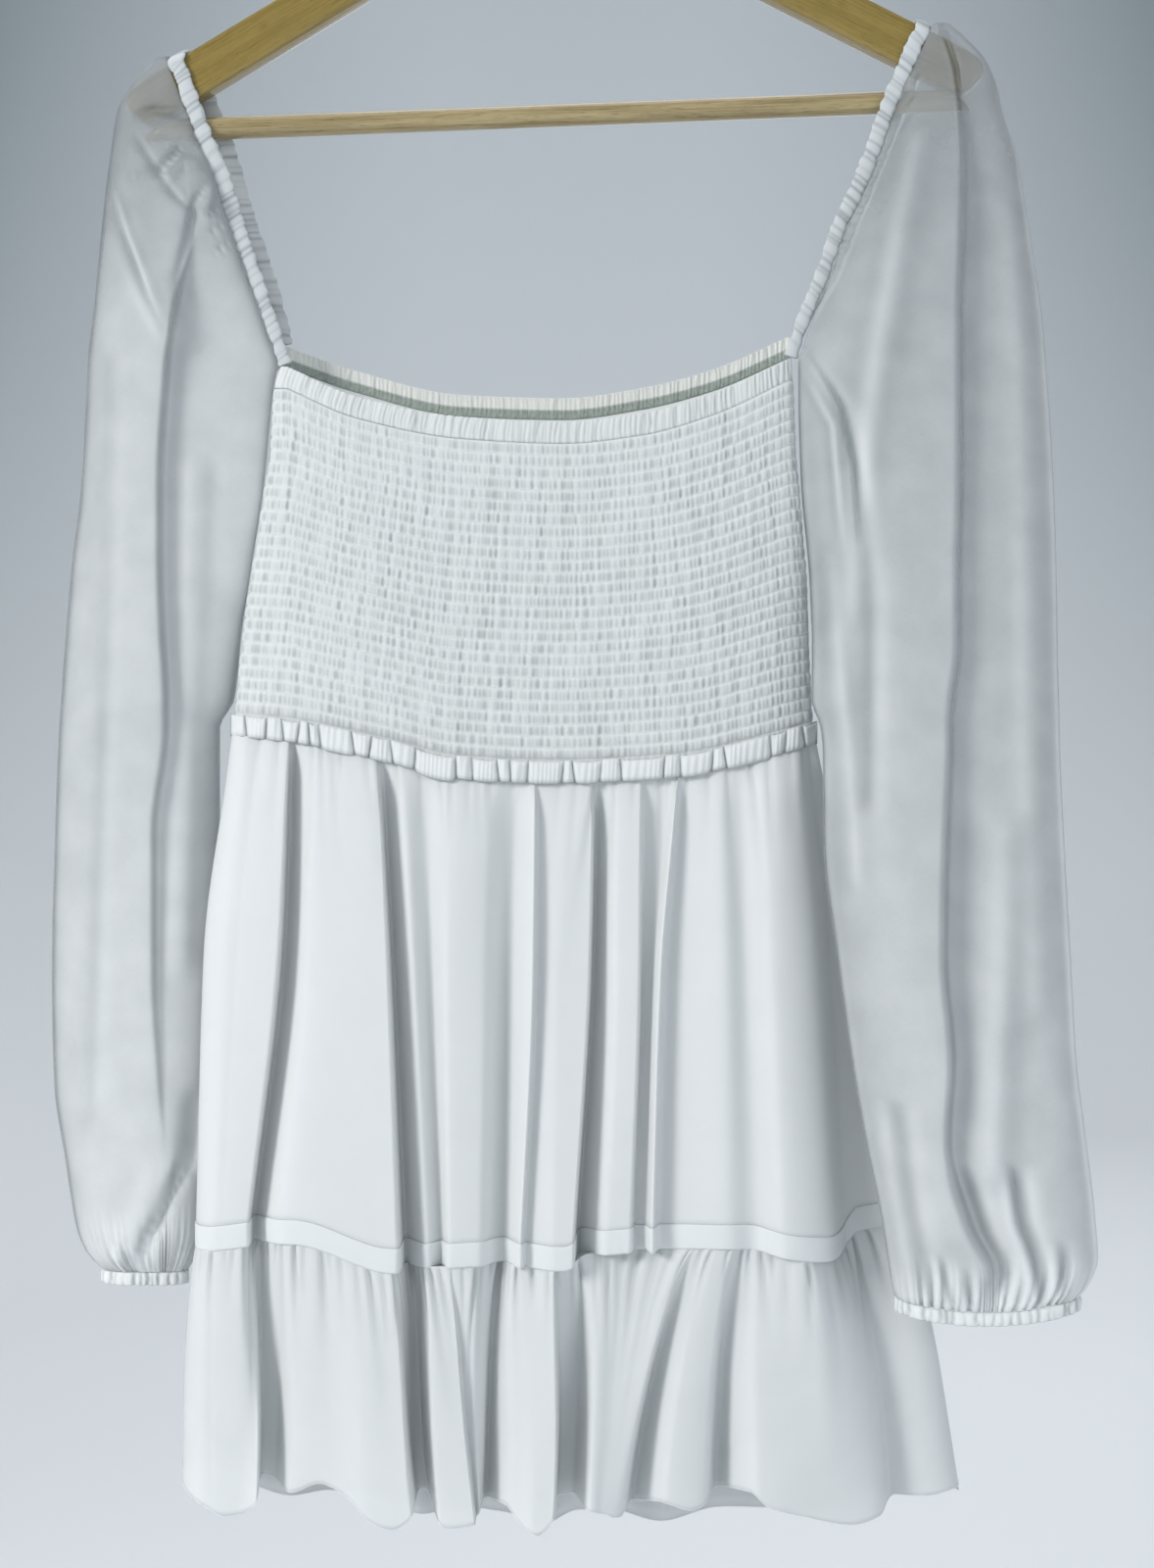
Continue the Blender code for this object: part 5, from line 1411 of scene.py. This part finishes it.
sheer_cloth = chiffon("sheer sleeve chiffon", (0.95, 0.97, 0.98), (0.13, 0.16, 0.175), 0.12, 0.90, crepe=0.45)
for side in ("left", "right"):
    table_drops = SLEEVE[side]["drop"]
    first, last = table_drops[0], table_drops[-1]
    steps = np.linspace(0, 1, SLEEVE_ROWS) ** 1.35
    drops = np.unique(np.concatenate([first + (last - first) * steps, table_drops[:HEAD_ROWS]]))
    outer = sleeve_grid(side, drops, *SLEEVE_COLUMNS)
    level = -outer[..., 2]
    wrist = np.clip((level - (last - WRIST_REACH)) / 30, 0, 1) ** 1.5
    pleats = gathers(np.arange(outer.shape[1]) * 2.6, 1, 7.5, 1.8, WRIST_SEED)[0]
    relief = -WRIST_PLEAT * wrist * (pleats - 0.4) * held_ends(outer.shape[1], 7)
    relief[:HEAD_ROWS] *= 0.2
    seamed = SLEEVE[side].at("gap", drops) < SEAM_GAP
    away = np.where(seamed[:, None, None], outward(outer), outward(outer, False))
    outer = outer + away * relief[..., None]
    inner = outer - away * CLOTH_THICKNESS
    inner[0] = outer[0] * (1, 0.5, 1) - (0, 0, 0.6)
    veil_and_shade = VEIL_AND_SHADE.at(side, level - first)
    # Painted shade in the fold troughs, at the rims and steep sides, where the cloth also grows more
    # see-through, and in the wrist pleats' hollows; lighter on the ridges.
    painted_trough_shade = np.clip(1.6 * trough(outer, 5), -0.28, 0.3)
    slope = 1 - np.abs(away[..., 1])
    full = np.clip(veil_and_shade - 0.3 * slope + painted_trough_shade + wrist * 0.25 * (0.8 - pleats), 0, 1)
    piece = cloth_shell(f"sleeve_{side}_cloth", outer, inner, sheer_cloth, full)
    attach(piece, "root")
    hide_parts(f"sleeve_{side}")
    below = ["hanger_body_wood", f"head_casing_{side}_cloth"]


# The cuffs: a 6.8 mm casing over elastic at each wrist, drawn up into small upright ruches with a
# scalloped lower edge.
CUFF_HEIGHT = 6.8
CUFF_COLUMNS = (161, 121)  # round its front and round its back
CUFF_SEED = {"left": 71, "right": 72}
CUFF_WALL = 0.7

cuff_cloth = chiffon("gathered casing chiffon", (0.78, 0.80, 0.805), (0.28, 0.31, 0.32))
for side in ("left", "right"):
    last_ring = sleeve_grid(side, SLEEVE[side]["drop"][-1:], *CUFF_COLUMNS, flat=0.0)[0]
    shares = np.array([0, 0.08, 0.25, 0.45, 0.65, 0.85, 0.95, 1])
    cuff = last_ring[None] - (SEAM_GAP + shares * CUFF_HEIGHT)[:, None, None] * (0, 0, 1)
    along = cloth_lengths(cuff)[0][0]
    ruches = gathers(along, 3, 4.2, 0.85, CUFF_SEED[side], steadiness=0.75, wander=0.4)
    ruches = between_bands(ruches, shares)
    limits = held_ends(len(along), 5)
    swell = np.array([0.3, 0.65, 0.95, 1, 1, 0.8, 0.5, 0.3])[:, None]
    relief = swell * (1.5 - 1.5 * np.clip(ruches, 0, 1.2)) * limits
    cuff[..., 2] += np.clip(shares - 0.6, 0, 1)[:, None] * 1.5 * ruches * limits
    outer = cuff + outward(cuff) * relief[..., None]
    inner = outer - outward(cuff) * CUFF_WALL
    # Painted shade in the ruches' hollows, and a painted shadow line along the lower edge.
    full = np.clip(1 - 0.7 * ruches - 0.5 * (shares[:, None] > 0.97), 0, 1)
    piece = cloth_shell(f"cuff_{side}_cloth", outer, inner, cuff_cloth, full)
    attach(piece, "root")
    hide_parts(f"cuff_{side}")


# The sleeve-head casings: narrow tubes of chiffon over elastic along the neck edge of each sleeve, up the
# front, over the hanger's arm and down the back. They lie flat, unevenly ruched and a little slanted.
CASING_THICKNESS = 2.4
WOOD_EDGE = 3.0
CASING_LEAN = {"left": (-0.9, 0.0, -0.43), "right": (0.9, 0.0, -0.43)}
ARM_REACH = 189
ROUTE_SPACING = 6.2
RUCHE_PITCH = 3.2
RUCHE_SLANT = 0.3
HEAD_CASING_SEED = {"left": 81, "right": 82}


def arm_top_drop(across, hand):
    """The drop of the arm's upper edge at a place across, on the left or right arm."""
    out = HANGER_LINE["out"]
    drop = HANGER_LINE["drop"]
    half = HANGER_LINE["half_height"]
    lean = np.gradient(drop, out)
    lean[0] = 0
    length = np.hypot(1, lean)
    places, drops = tilted((out + half * lean / length) * hand, drop - half / length)
    return np.interp(across, places[::hand], drops[::hand])


def casing_route(side):
    """The middle line of a head casing: up the front, over the arm and down the back."""
    table = HEAD_CASING[side]
    hand = SLEEVE_SIDE[side]
    front_corner, back_corner = NECK_CORNER[side]
    clear = HEAD_CASING_Y - WOOD_THICKNESS / 2
    bend = WOOD_EDGE + clear
    top_front = arm_top_drop(table.at("front", arm_top_drop(hand * ARM_REACH, hand)), hand)
    route = []
    for drop in np.arange(front_corner, top_front + WOOD_EDGE, -ROUTE_SPACING):
        route.append(point(table.at("front", drop), -HEAD_CASING_Y, drop))
    for turn in np.radians((15, 45, 75, 90, 105, 135, 165)):
        y = -math.copysign(1, math.cos(turn)) * (WOOD_THICKNESS / 2 - WOOD_EDGE)
        y -= bend * math.cos(turn) if abs(math.cos(turn)) > 0.01 else y
        share = (y + HEAD_CASING_Y) / (2 * HEAD_CASING_Y)
        across = table.at("front", top_front) * (1 - share) + table.at("back", top_front) * share
        rise = bend * math.sin(turn) - WOOD_EDGE
        route.append((across, y, -(arm_top_drop(across, hand) - rise * 1.13)))
    for drop in np.arange(back_corner, top_front + WOOD_EDGE, -ROUTE_SPACING)[::-1]:
        route.append(point(table.at("back", drop), HEAD_CASING_Y, drop))
    return np.array(route)


head_cloth = chiffon("ruched casing chiffon", (0.60, 0.63, 0.645), (0.27, 0.30, 0.31))
for side in ("left", "right"):
    rough_route = casing_route(side)
    legs = np.concatenate([[0], np.cumsum(np.linalg.norm(np.diff(rough_route, axis=0), axis=1))])
    along = np.linspace(0, legs[-1], 560)
    route = np.column_stack([smooth(legs, rough_route[:, k], along) for k in range(3)])
    tangents = np.gradient(route, axis=0)
    tangents /= np.linalg.norm(tangents, axis=1, keepdims=True)
    lean = np.array(CASING_LEAN[side])
    wide = lean - tangents * (tangents @ lean)[:, None]
    wide /= np.linalg.norm(wide, axis=1, keepdims=True)
    thick = np.cross(tangents, wide)
    turn = np.linspace(0, 2 * math.pi, 25)[:-1]
    flat_width = np.cos(turn) * CASING_WIDTH / 2
    flat_thick = squared(np.sin(turn), 0.8) * CASING_THICKNESS / 2
    random = np.random.default_rng(HEAD_CASING_SEED[side])
    slant = along[:, None] + RUCHE_SLANT * flat_width
    steps = RUCHE_PITCH * random.uniform(0.4, 2.2, int(legs[-1] / RUCHE_PITCH * 1.1))
    middles = np.cumsum(steps)
    depths = random.uniform(0.2, 1.0, len(middles))
    breadths = random.uniform(0.45, 1.1, len(middles))
    crease = np.zeros(slant.shape)
    for middle, depth, breadth in zip(middles, depths, breadths):
        crease += depth * np.exp(-(((slant - middle) / breadth) ** 2))
    crease = np.clip(crease, 0, 1.2)
    uneven = 0.09 * np.sin(along * 0.83 + 2 * np.sin(along * 0.19)) + 0.06 * np.sin(along * 0.31 + 1)
    lower = np.clip((np.abs(along - legs[-1] / 2) / (legs[-1] / 2) - 0.5) * 2, 0, 1)
    size = 1.1 - 0.3 * crease
    edge = 1.22 - 0.16 * crease + (uneven - 0.3 * lower)[:, None]
    rings = route[:, None] + wide[:, None] * (flat_width * edge)[..., None]
    rings = rings + thick[:, None] * (flat_thick * size)[..., None]
    # Painted shade in the creases of the ruching.
    full = np.clip(0.9 - 0.75 * crease, 0, 1)
    laid = np.stack(np.broadcast_arrays(slant, turn * 3, full), axis=-1)
    piece = lofted(f"head_casing_{side}_cloth", rings, head_cloth, laid)
    skin = bmesh.new()
    skin.from_mesh(piece.data)
    if skin.calc_volume(signed=True) < 0:
        bmesh.ops.reverse_faces(skin, faces=skin.faces)
        skin.to_mesh(piece.data)
    skin.free()
    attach(piece, "root")
    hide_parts(f"head_casing_{side}")


# The stage: a wide, pale, round backdrop that turns up from the floor, painted darker towards its top
# and its upper sides as painted shade, and large soft lights, the strongest from the front left.
FLOOR_DROP = 1.5
BACKDROP = Table(
    "leg radius height",
    (0, 0.0, 0.0),
    (1, 2.0, 0.0),
    (2, 2.7, 0.06),
    (3, 3.3, 0.3),
    (4, 3.75, 0.75),
    (5, 3.95, 1.4),
    (6, 4.0, 2.2),
    (7, 4.0, 4.2),
)

legs = np.linspace(0, 7, 57)[1:, None]
radii = BACKDROP.at("radius", legs)
heights = BACKDROP.at("height", legs) - FLOOR_DROP
turn = np.linspace(0, 2 * math.pi, 97)[:-1]
points = np.broadcast_arrays(radii * np.cos(turn), radii * np.sin(turn), heights)
points = np.stack(points, axis=-1).reshape(-1, 3)
index = np.arange(len(points)).reshape(-1, len(turn))
after = np.roll(index, -1, axis=1)
faces = np.stack([index[:-1], after[:-1], after[1:], index[1:]], axis=-1).reshape(-1, 4).tolist()
faces.append(index[0].tolist())
mesh = bpy.data.meshes.new("backdrop")
mesh.from_pydata(points.tolist(), [], faces)
mesh.shade_smooth()
paint, wire, shader = finish("pale backdrop with painted shade", Roughness=1.0)
shader.inputs["Specular IOR Level"].default_value = 0.0
place = wire.node("ShaderNodeTexCoord", output=3)
high = wire.node("ShaderNodeSeparateXYZ", {0: place}, output=2)
aside = wire.node("ShaderNodeSeparateXYZ", {0: place}, output=0)
# Painted shade: the backdrop grows darker towards its top, and darker still towards its upper sides.
painted_corner_shade = (aside * aside).ranged(0.1, 1.8) * high.ranged(-1.2, 1.3)
wall = high.ranged(-1.3, 1.2).mixed((0.78, 0.80, 0.82), (0.68, 0.715, 0.75))
dress_up(wire, shader, painted_corner_shade.mixed(wall, (0.30, 0.345, 0.37)))
mesh.materials.append(paint)
backdrop = bpy.data.objects.new("backdrop", mesh)
bpy.context.scene.collection.objects.link(backdrop)

Lamp = namedtuple("Lamp", "name place aim size power colour")
LAMPS = (
    Lamp("key", (-2.5, -1.9, 0.5), (0, 0, -0.55), 1.1, 71, (1.0, 0.99, 0.97)),
    Lamp("fill", (2.4, -2.2, -0.3), (0, 0, -0.55), 2.2, 22, (0.96, 0.98, 1.0)),
    Lamp("top", (0.0, 0.4, 2.0), (0, 0, -0.5), 2.4, 26, (0.98, 0.99, 1.0)),
    Lamp("rear", (0.8, 2.6, 0.4), (0, 0, -0.5), 2.2, 18, (0.97, 0.98, 1.0)),
)
for lamp in LAMPS:
    data = bpy.data.lights.new(lamp.name, "AREA")
    data.shape = "DISK"
    data.size = lamp.size
    data.energy = lamp.power
    data.color = lamp.colour
    light = bpy.data.objects.new(lamp.name, data)
    light.location = lamp.place
    light.rotation_euler = (Vector(lamp.aim) - Vector(lamp.place)).to_track_quat("-Z", "Y").to_euler()
    light.visible_camera = False
    bpy.context.scene.collection.objects.link(light)

world = bpy.data.worlds.new("soft light")
world.use_nodes = True
world.node_tree.nodes["Background"].inputs["Color"].default_value = (0.90, 0.93, 0.96, 1)
world.node_tree.nodes["Background"].inputs["Strength"].default_value = 0.60
bpy.context.scene.world = world
bpy.context.scene.view_settings.view_transform = "Standard"
bpy.context.scene.cycles.transparent_max_bounces = 24
